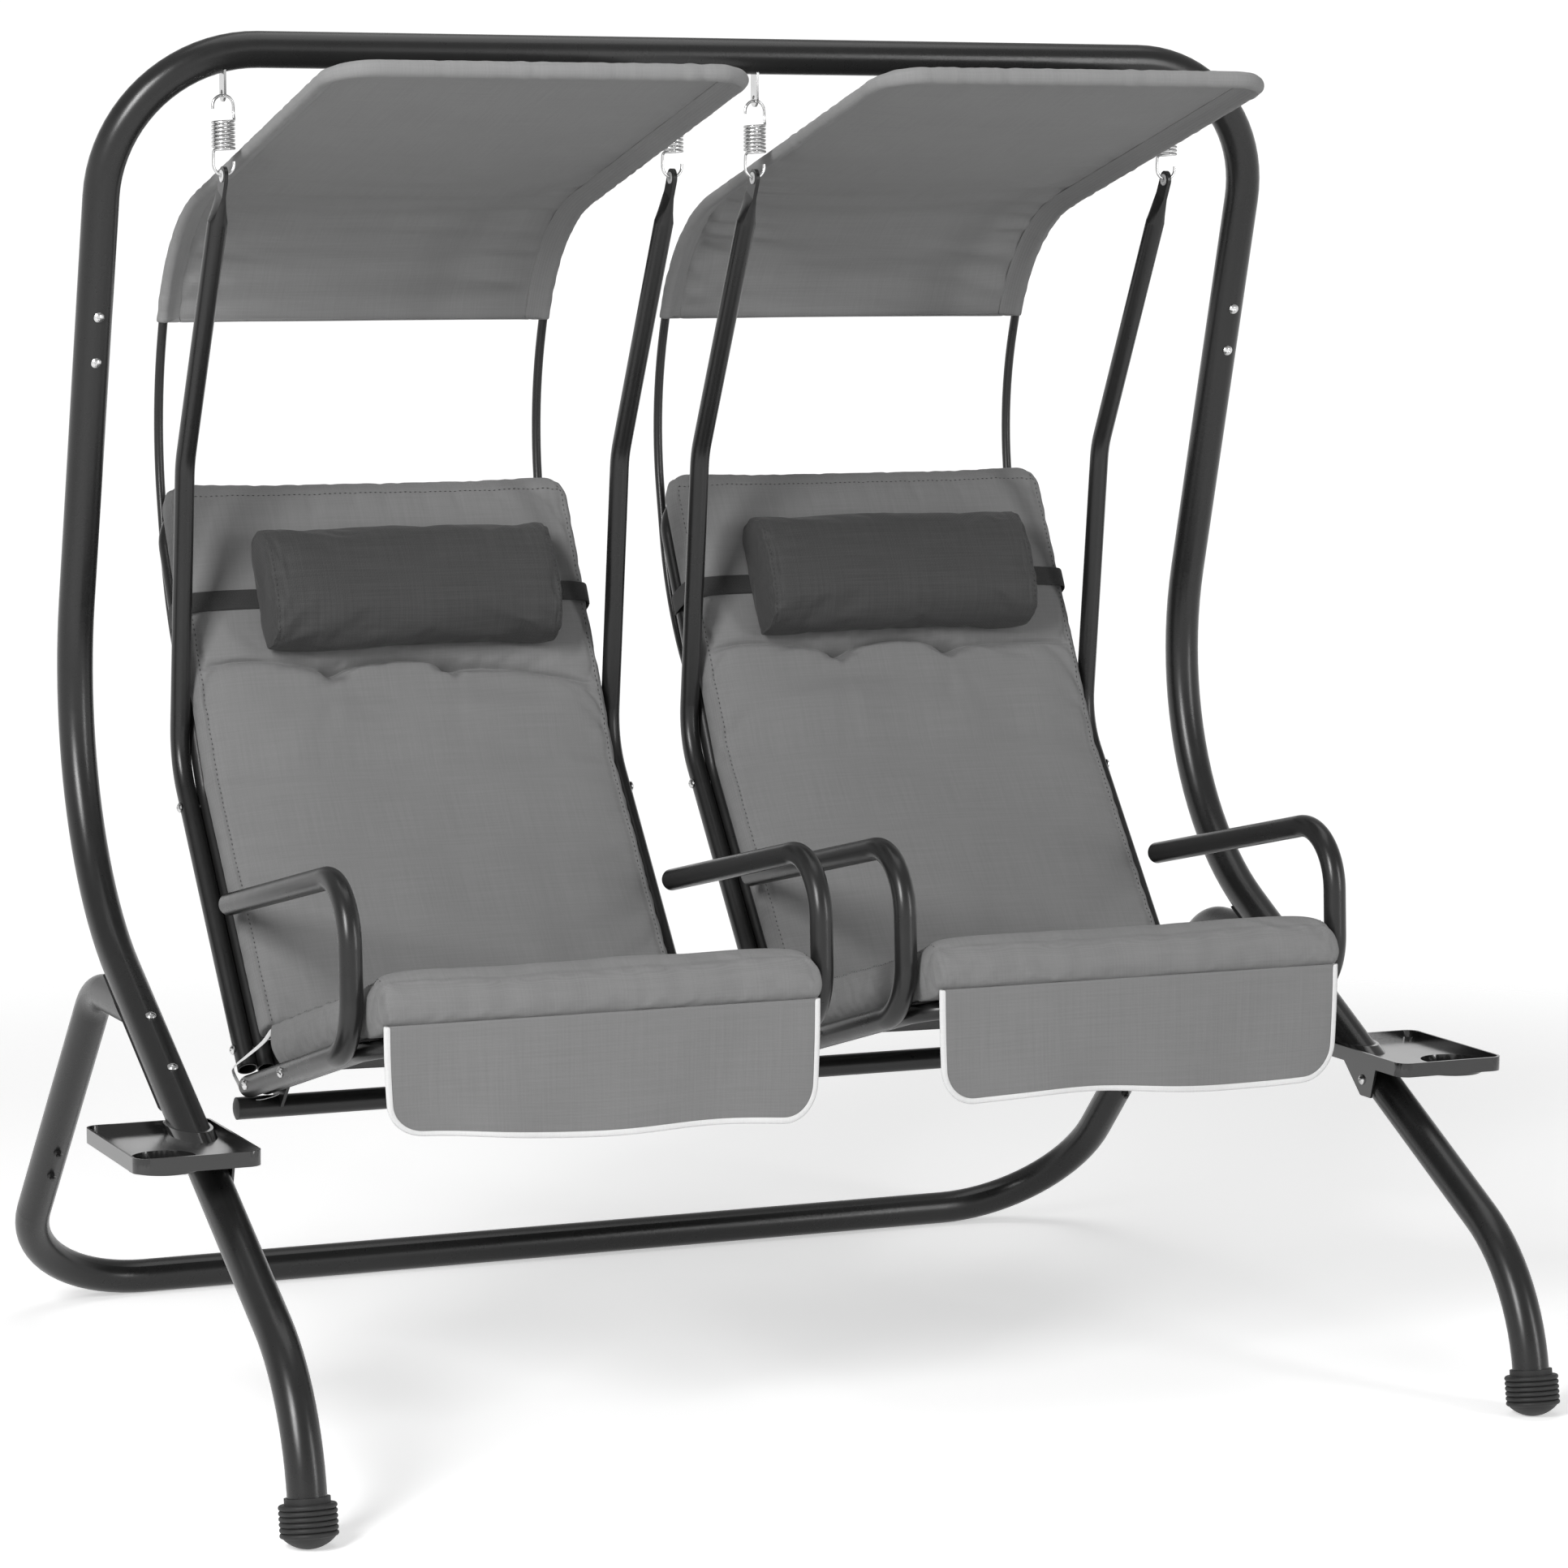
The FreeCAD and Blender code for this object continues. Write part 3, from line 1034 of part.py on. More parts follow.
def flap_cloth(place, thick, drop):
    """Hanging cloth whose folds grow towards its lower edge, as thick as given."""
    wide = flap_half
    count = 2 * int(size("flap_folds"))
    pitch = 2 * wide / count
    wave = size("flap_wave") / 2
    low = place - Z_AXIS * drop
    arcs = []
    for step in range(count):
        start = low - X_AXIS * (wide - step * pitch)
        bulge = Y_AXIS * (wave if step % 2 else -wave)
        arcs.append(Part.Arc(start, start + X_AXIS * (pitch / 2) + bulge, start + X_AXIS * pitch).toShape())
    panels = []
    for step, arc in enumerate(arcs):
        start = place - X_AXIS * (wide - step * pitch)
        panels.append(Part.makeRuledSurface(Part.makeLine(start, start + X_AXIS * pitch), arc))
    solids = [panel.extrude(Y_AXIS * thick) for panel in panels]
    cloth = solids[0].multiFuse(solids[1:])
    cloth.translate(Y_AXIS * (-thick / 2))
    return cloth


def flap_plan(place, inset, drop):
    """The flap's outline with rounded lower corners, as a deep prism."""
    wide = flap_half - inset
    deep = 6 * size("flap_wave") + 4 * size("flap_thick")
    low = place - Z_AXIS * (drop - inset)
    block = Part.makeBox(2 * wide, deep, drop - inset, low - X_AXIS * wide - Y_AXIS * (deep / 2))
    edges = [edge for edge in block.Edges if abs(edge.tangentAt(0).y) > 0.99
             and abs(edge.CenterOfMass.z - low.z) < 1e-6]
    return block.makeFillet(size("flap_corner") - inset, edges)


def flap_place():
    """The middle of the flap's sewn top edge, on the lower rounding of the seat pad's roll."""
    sewn = seat_pad_start() + (seat_up - seat_way) * (size("roll_r") * CORNER_CUT)
    return sewn - Y_AXIS * (size("cloth_gap") + size("binding_thick") / 2)


def make_flap(seat, seat_x):
    """The cloth flap below the front roll and the binding on its three free edges."""
    place = flap_place()
    drop = size("flap_drop")
    inner = flap_plan(place, size("binding_width"), drop)
    cloth = flap_cloth(place, size("flap_thick"), drop).common(inner)
    feature(f"{seat}_flap", shifted(cloth.Solids[0], seat_x))
    edge = flap_cloth(place, size("binding_thick"), drop).common(flap_plan(place, 0, drop)).cut(inner)
    feature(f"{seat}_flap_binding", shifted(edge.Solids[0], seat_x))


def corner_waste(tip, turn, radius):
    """What a round front corner leaves of a square one, as a tall upright prism."""
    tall = 8 * radius
    centre = tip + Vector(-turn * radius, radius, -tall / 2)
    low = centre - Vector(radius * (1 - turn), 2 * radius, 0)
    block = Part.makeBox(2 * radius, 2 * radius, tall, low)
    return block.cut(Part.makeCylinder(radius, tall, centre))


def make_canopy(seat, seat_x):
    """The thin canopy tube, bent over both sides and across the front, and its cloth."""
    tube = size("canopy_od") / 2
    spread = rail_x - size("canopy_inset")
    left = [Vector(-spread, point.y, point.z) for point in canopy_line]
    right = [Vector(spread, point.y, point.z) for point in reversed(canopy_line)]
    corner = size("canopy_corner")
    bends = canopy_bends + [corner, corner] + canopy_bends[::-1]
    frame = rail_tube(left + right, bends, tube, size("canopy_wall"))
    feature(f"{seat}_canopy_frame", shifted(frame, seat_x))
    hem = at_height(canopy_line[2], canopy_line[3], size("canopy_hem_z"))
    lip = canopy_front + unit(canopy_line[3], canopy_front) * size("canopy_lip")
    line = [hem, canopy_line[3], lip]
    spine = path_wire(line, canopy_bends[-1:])
    way = unit(line[0], line[1])
    up = Vector(0, way.z, -way.y)
    inner = tube + size("cloth_gap")
    outer = inner + size("canopy_cloth")

    def arc(turn, radius):
        """A quarter of a hem round one side tube, from its top outward."""
        middle = line[0] + X_AXIS * (turn * spread)
        out = X_AXIS * (turn * radius)
        slant = (out + up * radius) * math.sqrt(0.5)
        return Part.Arc(middle + up * radius, middle + slant, middle + out).toShape()

    def top(radius):
        """The stretched cloth between the two hems."""
        across = X_AXIS * spread
        return Part.makeLine(line[0] - across + up * radius, line[0] + across + up * radius)

    skirt = []
    drop = up * -tube
    for turn in (-1, 1):
        base = line[0] + X_AXIS * (turn * spread)
        inside = base + X_AXIS * (turn * inner)
        outside = base + X_AXIS * (turn * outer)
        skirt += [Part.makeLine(inside, inside + drop), Part.makeLine(inside + drop, outside + drop),
                  Part.makeLine(outside + drop, outside)]
    edges = [top(inner), top(outer)] + [arc(turn, radius) for turn in (-1, 1) for radius in (inner, outer)]
    section = Part.Wire(Part.__sortEdges__(edges + skirt))
    cloth = spine.makePipeShell([section], True, False)
    reach = spread + outer
    for turn in (-1, 1):
        cloth = cloth.cut(corner_waste(lip + X_AXIS * (turn * reach), turn, corner + outer))
    feature(f"{seat}_canopy", shifted(cloth.Solids[0], seat_x))


def make_ties(seat, seat_x):
    """White tapes that tie the pad's lower corners to the hangers, open towards the rail."""
    inner = size("hanger_od") / 2 + size("running_gap")
    outer = inner + size("tie_thick")
    width = size("tie_width")
    place = hang_foot + low_way * (width / 3)
    ties = []
    for turn in (-1, 1):
        ring = Part.makeCylinder(outer, width).cut(Part.makeCylinder(inner, width))
        gap = Part.makeBox(2 * outer, 2 * outer, width, Vector(-2 * outer - inner / 2, -outer, 0))
        ring = ring.cut(gap)
        if turn < 0:
            ring.rotate(Vector(), Z_AXIS, 180)
        lean_back = Rotation(X_AXIS, math.degrees(math.atan2(-low_way.y, low_way.z)))
        ring.Placement = Placement(place + X_AXIS * (turn * hanger_x), lean_back).multiply(ring.Placement)
        ties.append(shifted(ring, seat_x))
    feature(f"{seat}_cushion_ties", Part.makeCompound(ties))


def make_seat_bolts(seat, seat_x):
    """Bolts of the hangers and arms, heads outside."""
    bolts = []
    for turn in (-1, 1):
        out = X_AXIS * turn
        hanger_face = hanger_x + size("hanger_od") / 2
        arm_face = arm_x + size("arm_od") / 2
        inner_face = rail_x - rail_r
        for point, face in ((hang_bolts[0], hanger_face), (hang_bolts[1], hanger_face),
                            (arm_bolts[0], arm_face), (arm_bolts[1], arm_face)):
            linked = point in (hang_bolts[1], arm_bolts[0])
            grip = face - inner_face + (size("link_thick") if linked else 0)
            bolts.append(shifted(bolt(point + out * face, out, grip), seat_x))
    feature(f"{seat}_seat_bolts", Part.makeCompound(bolts))


def make_bushes(seat, places):
    """Flanged nylon bushes in the eyelets."""
    outer = size("bush_od") / 2
    bore = size("bush_bore") / 2
    gap = size("running_gap")
    reach = size("eyelet_thick") / 2 + gap
    thick = size("bush_flange_thick")
    flange = size("bush_flange") / 2
    bushes = []
    for x in places:
        sleeve = Part.makeCylinder(outer, 2 * reach, eye + X_AXIS * (x - reach), X_AXIS)
        for start in (x - reach - thick, x + reach):
            sleeve = sleeve.fuse(Part.makeCylinder(flange, thick, eye + X_AXIS * start, X_AXIS))
        hole = Part.makeCylinder(bore, 4 * reach, eye + X_AXIS * (x - 2 * reach), X_AXIS)
        bushes.append(sleeve.cut(hole).removeSplitter())
    feature(f"{seat}_eyelet_bushes", Part.makeCompound(bushes))


bar_solid = make_top_frame()
for name, sign in SIDES:
    make_side_tube(name, sign)
    make_knee_tube(name, sign)
    make_saddle(name, sign)
    make_foot_cap(name, sign)
    make_tray(name, sign)
make_rear_base()
make_spring_brackets(bar_solid)
make_stand_bolts()

for name, sign in SIDES:
    seat_x = sign * size("seat_pitch") / 2
    places = [seat_x + turn * hanger_x for turn in (-1, 1)]
    make_springs(name, places)
    make_bushes(name, places)
    for part, turn in (("outer", sign), ("inner", -sign)):
        make_hanger(name, f"hanger_{part}", seat_x, turn)
        make_arm(name, f"arm_{part}", seat_x, turn)
    make_plugs(name, seat_x)
    make_frames(name, seat_x)
    make_slings(name, seat_x)
    make_back_cushion(name, seat_x)
    make_seat_cushion(name, seat_x)
    make_headrest(name, seat_x)
    make_flap(name, seat_x)
    make_canopy(name, seat_x)
    make_ties(name, seat_x)
    make_seat_bolts(name, seat_x)

doc.recompute()
for obj in doc.Objects:
    if "Invalid" in obj.State or "Error" in obj.State:
        raise RuntimeError(f"{obj.Label} failed: {obj.State}")
for obj in nodes:
    if obj.Shape.isNull() or not obj.Shape.isValid():
        raise RuntimeError(f"{obj.Label} has no valid shape")
os.makedirs("parts", exist_ok=True)
for obj in nodes:
    obj.Shape.exportStep(f"parts/{obj.Label}.step")
print(len(nodes), "nodes written; flap hinge", flap_place(), "eyelet", eye)
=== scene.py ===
"""Looks of a two-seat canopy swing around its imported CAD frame. Metres, +Z up, front at -Y."""
import json
import logging
import math
from dataclasses import dataclass
from enum import Enum

import bmesh
import bpy
import numpy as np
from mathutils import Matrix, Vector, noise

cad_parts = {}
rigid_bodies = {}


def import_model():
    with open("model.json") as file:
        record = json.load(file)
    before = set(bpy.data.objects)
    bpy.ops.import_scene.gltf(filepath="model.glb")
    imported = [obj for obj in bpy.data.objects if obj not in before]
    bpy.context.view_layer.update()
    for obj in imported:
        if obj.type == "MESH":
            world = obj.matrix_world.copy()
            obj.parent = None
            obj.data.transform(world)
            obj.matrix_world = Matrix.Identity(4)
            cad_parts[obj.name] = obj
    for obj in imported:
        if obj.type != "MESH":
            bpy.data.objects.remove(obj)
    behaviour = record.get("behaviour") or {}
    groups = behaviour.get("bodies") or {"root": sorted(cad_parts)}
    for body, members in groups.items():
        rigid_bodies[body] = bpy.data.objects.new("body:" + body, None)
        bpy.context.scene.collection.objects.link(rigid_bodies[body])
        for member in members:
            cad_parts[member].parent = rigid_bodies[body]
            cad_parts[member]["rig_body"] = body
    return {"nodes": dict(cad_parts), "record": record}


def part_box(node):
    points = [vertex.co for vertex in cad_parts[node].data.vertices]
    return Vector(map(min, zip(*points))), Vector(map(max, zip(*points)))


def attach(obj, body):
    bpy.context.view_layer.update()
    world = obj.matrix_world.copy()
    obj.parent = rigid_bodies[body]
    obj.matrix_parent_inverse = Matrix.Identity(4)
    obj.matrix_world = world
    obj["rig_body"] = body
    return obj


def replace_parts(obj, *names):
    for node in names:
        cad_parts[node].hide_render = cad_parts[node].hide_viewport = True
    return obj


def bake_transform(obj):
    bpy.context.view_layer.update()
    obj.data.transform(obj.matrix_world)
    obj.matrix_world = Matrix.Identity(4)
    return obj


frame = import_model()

logging.basicConfig(level=logging.INFO, format="%(name)s: %(message)s")
log = logging.getLogger("swing_seat")

WHITE = (1, 1, 1, 1)
COAT_ROUGHNESS = 0.15
BUMP_STRENGTH = 0.6


# Materials


class NodeTree:
    """A node tree that is written with one call per node."""

    def __init__(self, tree: bpy.types.NodeTree) -> None:
        """Wrap a tree.

        Args:
            tree: The material or group tree to write.
        """
        self.tree = tree

    def add(self, kind: str, inputs: dict | None = None, **settings) -> bpy.types.Node:
        """Add a node, set its options and link or fill its inputs.

        Args:
            kind: The node's type name.
            inputs: Input name or index to a socket to link or a number to set.
            settings: Options of the node itself.

        Returns:
            The new node.
        """
        node = self.tree.nodes.new(kind)
        for key, value in settings.items():
            setattr(node, key, value)
        for key, value in (inputs or {}).items():
            if isinstance(value, bpy.types.NodeSocket):
                self.link(value, node.inputs[key])
            else:
                node.inputs[key].default_value = value
        return node

    def link(self, source: bpy.types.NodeSocket, target: bpy.types.NodeSocket) -> None:
        """Link an output to an input.

        Args:
            source: The output.
            target: The input.
        """
        self.tree.links.new(source, target)

    def math(self, operation: str, a, b=0.0) -> bpy.types.NodeSocket:
        """Combine two numbers or sockets.

        Args:
            operation: The math node's operation.
            a: The first number or socket.
            b: The second number or socket.

        Returns:
            The result's socket.
        """
        return self.add("ShaderNodeMath", {0: a, 1: b}, operation=operation).outputs[0]

    def noise(self, vector: bpy.types.NodeSocket, scale, detail: float) -> bpy.types.NodeSocket:
        """Noise around 0.5 on a vector.

        Args:
            vector: The coordinate socket.
            scale: Waves per unit, a number or socket.
            detail: Octaves.

        Returns:
            The factor's socket.
        """
        node = self.add("ShaderNodeTexNoise", {"Vector": vector, "Scale": scale, "Detail": detail})
        return node.outputs[0]

    def seen(self) -> bpy.types.NodeSocket:
        """Tell rays that show a surface to the camera or in a mirror from rays that light the object.

        Returns:
            A socket that is 1 on the former and 0 on the latter.
        """
        path = self.add("ShaderNodeLightPath").outputs
        mirrored = self.math("MAXIMUM", path["Is Glossy Ray"], path["Is Transmission Ray"])
        return self.math("MAXIMUM", path["Is Camera Ray"], mirrored)


def new_group(name: str, inputs: dict[str, float], outputs: tuple[str, ...]) -> tuple[NodeTree, dict, dict]:
    """Start a shader node group of float sockets.

    Args:
        name: The group's name.
        inputs: Input names and their defaults.
        outputs: Output names.

    Returns:
        The tree, its input sockets by name and its output sockets by name.
    """
    group = bpy.data.node_groups.new(name, "ShaderNodeTree")
    for key, default in inputs.items():
        socket = group.interface.new_socket(key, in_out="INPUT", socket_type="NodeSocketFloat")
        socket.default_value = default
    for key in outputs:
        group.interface.new_socket(key, in_out="OUTPUT", socket_type="NodeSocketFloat")
    tree = NodeTree(group)
    source = tree.add("NodeGroupInput")
    target = tree.add("NodeGroupOutput")
    return tree, {key: source.outputs[key] for key in inputs}, {key: target.inputs[key] for key in outputs}


def weave_group() -> bpy.types.NodeTree:
    """Plain weave on UVs in metres: crossing threads, slubs, a broad uneven shade, and painted shade that
    darkens the low parts of the threads.

    Returns:
        The group.
    """
    wave_turns, slub_long, slub_thin, blotch_scale = 20, 9.0, 420.0, 7.0
    mean_shade, painted_thread_hollow_shade, slub_height = 0.92, 0.16, 0.8
    tree, given, out = new_group("weave", {"Threads": 900.0, "Slub": 0.2, "Blotch": 0.1}, ("Shade", "Height"))
    uv = tree.add("ShaderNodeUVMap").outputs[0]
    threads = tree.add("ShaderNodeVectorMath", {0: uv, 3: given["Threads"]}, operation="SCALE").outputs[0]
    waved = {"Vector": threads, "Scale": 2 * math.pi / wave_turns}
    waves = [tree.add("ShaderNodeTexWave", waved, bands_direction=axis).outputs[1] for axis in "XY"]
    over = tree.add("ShaderNodeTexChecker", {"Vector": threads, "Scale": 1.0}).outputs[1]
    height = tree.add("ShaderNodeMix", {0: over, 2: waves[0], 3: waves[1]}).outputs[0]
    slub = 0.0
    for stretch in ((slub_long, slub_thin, 1.0), (slub_thin, slub_long, 1.0)):
        stretched = tree.add("ShaderNodeVectorMath", {0: uv, 1: stretch}, operation="MULTIPLY").outputs[0]
        slub = tree.math("ADD", slub, tree.math("SUBTRACT", tree.noise(stretched, 1.0, detail=2.0), 0.5))
    blotch = tree.math("SUBTRACT", tree.noise(uv, blotch_scale, detail=4.0), 0.5)
    shade = tree.math("ADD", mean_shade, tree.math("MULTIPLY", slub, given["Slub"]))
    shade = tree.math("ADD", shade, tree.math("MULTIPLY", blotch, given["Blotch"]))
    # painted shade: the colour gets darker where the threads lie low, standing in for shade in the weave's
    # hollows
    shade = tree.math("ADD", shade, tree.math("MULTIPLY", height, painted_thread_hollow_shade))
    tree.link(shade, out["Shade"])
    tree.link(tree.math("ADD", height, tree.math("MULTIPLY", slub, slub_height)), out["Height"])
    return tree.tree


def grain_group() -> bpy.types.NodeTree:
    """Fine grain of a coated, plated or moulded surface, with slow changes of shade and gloss.

    Returns:
        The group.
    """
    slow_scale, dust_scale, gloss_change = 6.0, 60.0, 1.5
    tree, given, out = new_group("grain", {"Grain": 900.0, "Spread": 0.1}, ("Shade", "Gloss", "Height"))
    place = tree.add("ShaderNodeTexCoord").outputs["Object"]
    fine = tree.noise(place, given["Grain"], detail=2.0)
    slow = tree.math("SUBTRACT", tree.noise(place, slow_scale, detail=5.0), 0.5)
    dust = tree.math("SUBTRACT", tree.noise(place, dust_scale, detail=6.0), 0.5)
    change = tree.math("MULTIPLY", tree.math("ADD", slow, dust), given["Spread"])
    tree.link(tree.math("ADD", 1.0, change), out["Shade"])
    tree.link(tree.math("ADD", 1.0, tree.math("MULTIPLY", change, gloss_change)), out["Gloss"])
    tree.link(fine, out["Height"])
    return tree.tree


class Surface(Enum):
    """The node groups that a finish can use."""

    WEAVE = "weave"
    GRAIN = "grain"


@dataclass(frozen=True)
class Finish:
    """One material of the object.

    Attributes:
        name: The material's name, which is also the record's slot.
        grey: Base colour as a linear grey.
        surface: The node group behind it.
        roughness: Mean roughness.
        metallic: 1 for bare metal.
        sheen: Cloth sheen.
        specular: Strength of the mirror part.
        coat: Clear coat weight.
        fine: Threads or grains per metre.
        spread: Unevenness of shade.
        bump: Height of the weave or grain in metres.
    """

    name: str
    grey: float
    surface: Surface
    roughness: float = 0.5
    metallic: float = 0.0
    sheen: float = 0.0
    specular: float = 0.5
    coat: float = 0.0
    fine: float = 900.0
    spread: float = 0.1
    bump: float = 0.0002

    def make(self, group: bpy.types.NodeTree) -> bpy.types.Material:
        """Build the material.

        Args:
            group: The node group of this finish's surface.

        Returns:
            The material.
        """
        material = bpy.data.materials.new(self.name)
        material.use_nodes = True
        tree = NodeTree(material.node_tree)
        shader = material.node_tree.nodes["Principled BSDF"]
        even = {"Metallic": self.metallic, "Sheen Weight": self.sheen, "Specular IOR Level": self.specular,
                "Coat Weight": self.coat, "Coat Roughness": COAT_ROUGHNESS}
        for key, value in even.items():
            shader.inputs[key].default_value = value
        cloth = self.surface is Surface.WEAVE
        scale, uneven = ("Threads", "Slub") if cloth else ("Grain", "Spread")
        detail = tree.add("ShaderNodeGroup", node_tree=group)
        detail.inputs[scale].default_value = self.fine
        detail.inputs[uneven].default_value = self.spread
        base = [self.grey] * 3
        colour = tree.add("ShaderNodeVectorMath", {0: base, 3: detail.outputs["Shade"]}, operation="SCALE")
        tree.link(colour.outputs[0], shader.inputs["Base Color"])
        if cloth:
            shader.inputs["Roughness"].default_value = self.roughness
        else:
            rough = tree.math("MULTIPLY", self.roughness, detail.outputs["Gloss"])
            tree.link(rough, shader.inputs["Roughness"])
        raised = {"Height": detail.outputs["Height"], "Distance": self.bump, "Strength": BUMP_STRENGTH}
        bump = tree.add("ShaderNodeBump", raised)
        tree.link(bump.outputs[0], shader.inputs["Normal"])
        return material


FINISHES = (
    Finish("stand_paint", 0.0145, Surface.GRAIN, roughness=0.28, specular=0.4, fine=1500.0, spread=0.2,
           bump=0.00004),
    Finish("seat_paint", 0.0145, Surface.GRAIN, roughness=0.29, specular=0.4, fine=1500.0, spread=0.2,
           bump=0.00004),
    Finish("foot_rubber", 0.018, Surface.GRAIN, roughness=0.62, specular=0.4, fine=700.0, spread=0.3,
           bump=0.0001),
    Finish("tray_plastic", 0.0135, Surface.GRAIN, roughness=0.16, specular=0.45, coat=0.5, spread=0.25,
           bump=0.00003),
    Finish("zinc", 0.62, Surface.GRAIN, roughness=0.22, metallic=1.0, fine=500.0, spread=0.25, bump=0.00003),
    Finish("bush_nylon", 0.75, Surface.GRAIN, roughness=0.45, fine=600.0),
    Finish("plug_plastic", 0.018, Surface.GRAIN, roughness=0.42, specular=0.4, spread=0.2, bump=0.00006),
    Finish("sling_cloth", 0.036, Surface.WEAVE, roughness=0.9, sheen=0.08, specular=0.2, fine=500.0,
           bump=0.0004),
    # painted light: the canopy cloth is the cushion's cloth with a lighter grey, which makes up for the shade
    # on its underside
    Finish("canopy_cloth", 0.280, Surface.WEAVE, roughness=0.85, sheen=0.08, specular=0.2, spread=0.16),
    Finish("cushion_cloth", 0.216, Surface.WEAVE, roughness=0.88, sheen=0.10, specular=0.2, fine=800.0,
           spread=0.18),
    Finish("headrest_cloth", 0.052, Surface.WEAVE, roughness=0.7, sheen=0.08, specular=0.3, fine=420.0,
           spread=0.5, bump=0.0003),
    Finish("strap_webbing", 0.039, Surface.WEAVE, roughness=0.8, sheen=0.08, specular=0.3, fine=500.0,
           spread=0.2, bump=0.0004),
    Finish("binding_tape", 0.78, Surface.WEAVE, roughness=0.8, sheen=0.1, fine=1000.0),
)


class Finishes:
    """Every material of the object by name."""

    def __init__(self) -> None:
        """Build the groups and all materials."""
        groups = {Surface.WEAVE: weave_group(), Surface.GRAIN: grain_group()}
        self.by_name = {finish.name: finish.make(groups[finish.surface]) for finish in FINISHES}

    def dress(self, obj: bpy.types.Object, name: str) -> bpy.types.Object:
        """Give an object one material.

        Args:
            obj: The object.
            name: The finish.

        Returns:
            The same object.
        """
        obj.data.materials.clear()
        obj.data.materials.append(self.by_name[name])
        return obj


# Geometry


PAD_COLUMNS = 96
SIM_FRAMES = 20
ARC_POINTS = 25
TANGENT_STEP = 0.002
DENSITY_SAMPLES = 2001
STITCHED_SHARE = 0.62
NOISE_SHIFT = (7.31, 3.17, 5.53)
FILLED_CLOTH = {"quality": 6, "mass": 0.25, "tension_stiffness": 25, "compression_stiffness": 25,
                "shear_stiffness": 12, "bending_stiffness": 1.2, "air_damping": 2, "use_pressure": True}


@dataclass
class Mesh:
    """A mesh in the making.

    Attributes:
        points: Vertex places, one row each.
        faces: Vertex indices of each face.
        weave: Flat cloth coordinates of each vertex, in metres, or None.
    """

    points: np.ndarray
    faces: list
    weave: np.ndarray | None = None

    def make(self, name: str, finishes: Finishes, finish: str) -> bpy.types.Object:
        """Make an object, shaded smooth.

        Args:
            name: The object's name.
            finishes: The materials.
            finish: The material to use.

        Returns:
            The object, linked to the scene.
        """
        data = bpy.data.meshes.new(name)
        data.from_pydata([tuple(point) for point in self.points], [], self.faces)
        if self.weave is not None:
            layer = data.uv_layers.new(name="weave")
            corners = np.zeros(len(data.loops), np.int32)
            data.loops.foreach_get("vertex_index", corners)
            layer.data.foreach_set("uv", self.weave[corners].astype(np.float32).ravel())
        data.polygons.foreach_set("use_smooth", [True] * len(data.polygons))
        data.update()
        obj = bpy.data.objects.new(name, data)
        bpy.context.scene.collection.objects.link(obj)
        return finishes.dress(obj, finish)


def grid_faces(rows: int, columns: int, start: int = 0, wrap: bool = False) -> list:
    """Quads of a grid whose vertices run row by row.

    Args:
        rows: Vertices down.
        columns: Vertices across.
        start: Index of the first vertex.
        wrap: Whether the last column joins the first.

    Returns:
        The quads.
    """
    faces = []
    for i in range(rows - 1):
        for j in range(columns if wrap else columns - 1):
            k = (j + 1) % columns
            faces.append((start + i * columns + j, start + i * columns + k,
                          start + (i + 1) * columns + k, start + (i + 1) * columns + j))
    return faces


def joined(parts: list[Mesh]) -> Mesh:
    """One mesh from several.

    Args:
        parts: The meshes, all with cloth coordinates.

    Returns:
        The joined mesh.
    """
    faces = []
    first = 0
    for part in parts:
        faces += [tuple(first + i for i in face) for face in part.faces]
        first += len(part.points)
    points = np.concatenate([part.points for part in parts])
    return Mesh(points, faces, np.concatenate([part.weave for part in parts]))


def flat_grid(rows: int, columns: int, half: float, length: float) -> tuple[np.ndarray, np.ndarray]:
    """Points of a flat cloth, row by row.

    Args:
        rows: Points along.
        columns: Points across.
        half: Half the cloth's width.
        length: The cloth's length.

    Returns:
        Places across, from -half to half, and along, from 0 to the length.
    """
    v, u = np.meshgrid(np.linspace(0, 1, rows), np.linspace(-1, 1, columns), indexing="ij")
    return (u * half).ravel(), (v * length).ravel()


def reach_along(line: np.ndarray) -> np.ndarray:
    """Length along a line at each of its points.

    Args:
        line: The points.

    Returns:
        Lengths from 0.
    """
    return np.concatenate([[0.0], np.cumsum(np.linalg.norm(np.diff(line, axis=0), axis=1))])


def inward_ways(line: np.ndarray) -> np.ndarray:
    """The way to the inside at each point of a flat cloth's rim.

    Args:
        line: Points of the rim.

    Returns:
        One unit vector for each point.
    """
    ahead = np.gradient(line, axis=0)
    ahead /= np.linalg.norm(ahead, axis=1, keepdims=True)
    return np.stack([ahead[:, 1], -ahead[:, 0]], axis=1)


def rounded_rim(half: float, length: float, corner: float, counts: tuple[int, int, int],
                trims: tuple[float, float]) -> np.ndarray:
    """The rim of a flat cloth along one side, its end and the other side, with round corners.

    Args:
        half: Half the cloth's width.
        length: The cloth's length.
        corner: Radius of the corners.
        counts: Points of a side, of a corner and of the end.
        trims: How far a corner's points keep off its two ends, in radians.

    Returns:
        Points across and along.
    """
    turns = np.linspace(trims[0], math.pi / 2 - trims[1], counts[1])
    side = [(-half, t) for t in np.linspace(0, length - corner, counts[0])]
    side += [(-half + corner * (1 - math.cos(t)), length - corner * (1 - math.sin(t))) for t in turns]
    end = [(t, length) for t in np.linspace(-half + corner, half - corner, counts[2])]
    if trims[1] == 0:
        end = end[1:-1]
    return np.array(side + end + [(-x, s) for x, s in side[::-1]])


def solidify(obj: bpy.types.Object, thickness: float, offset: float = 0.0) -> None:
    """Give a sheet its thickness.

    Args:
        obj: The sheet.
        thickness: In metres.
        offset: -1 to 1, which side the thickness goes to.
    """
    modifier = obj.modifiers.new("thickness", "SOLIDIFY")
    modifier.thickness = thickness
    modifier.offset = offset


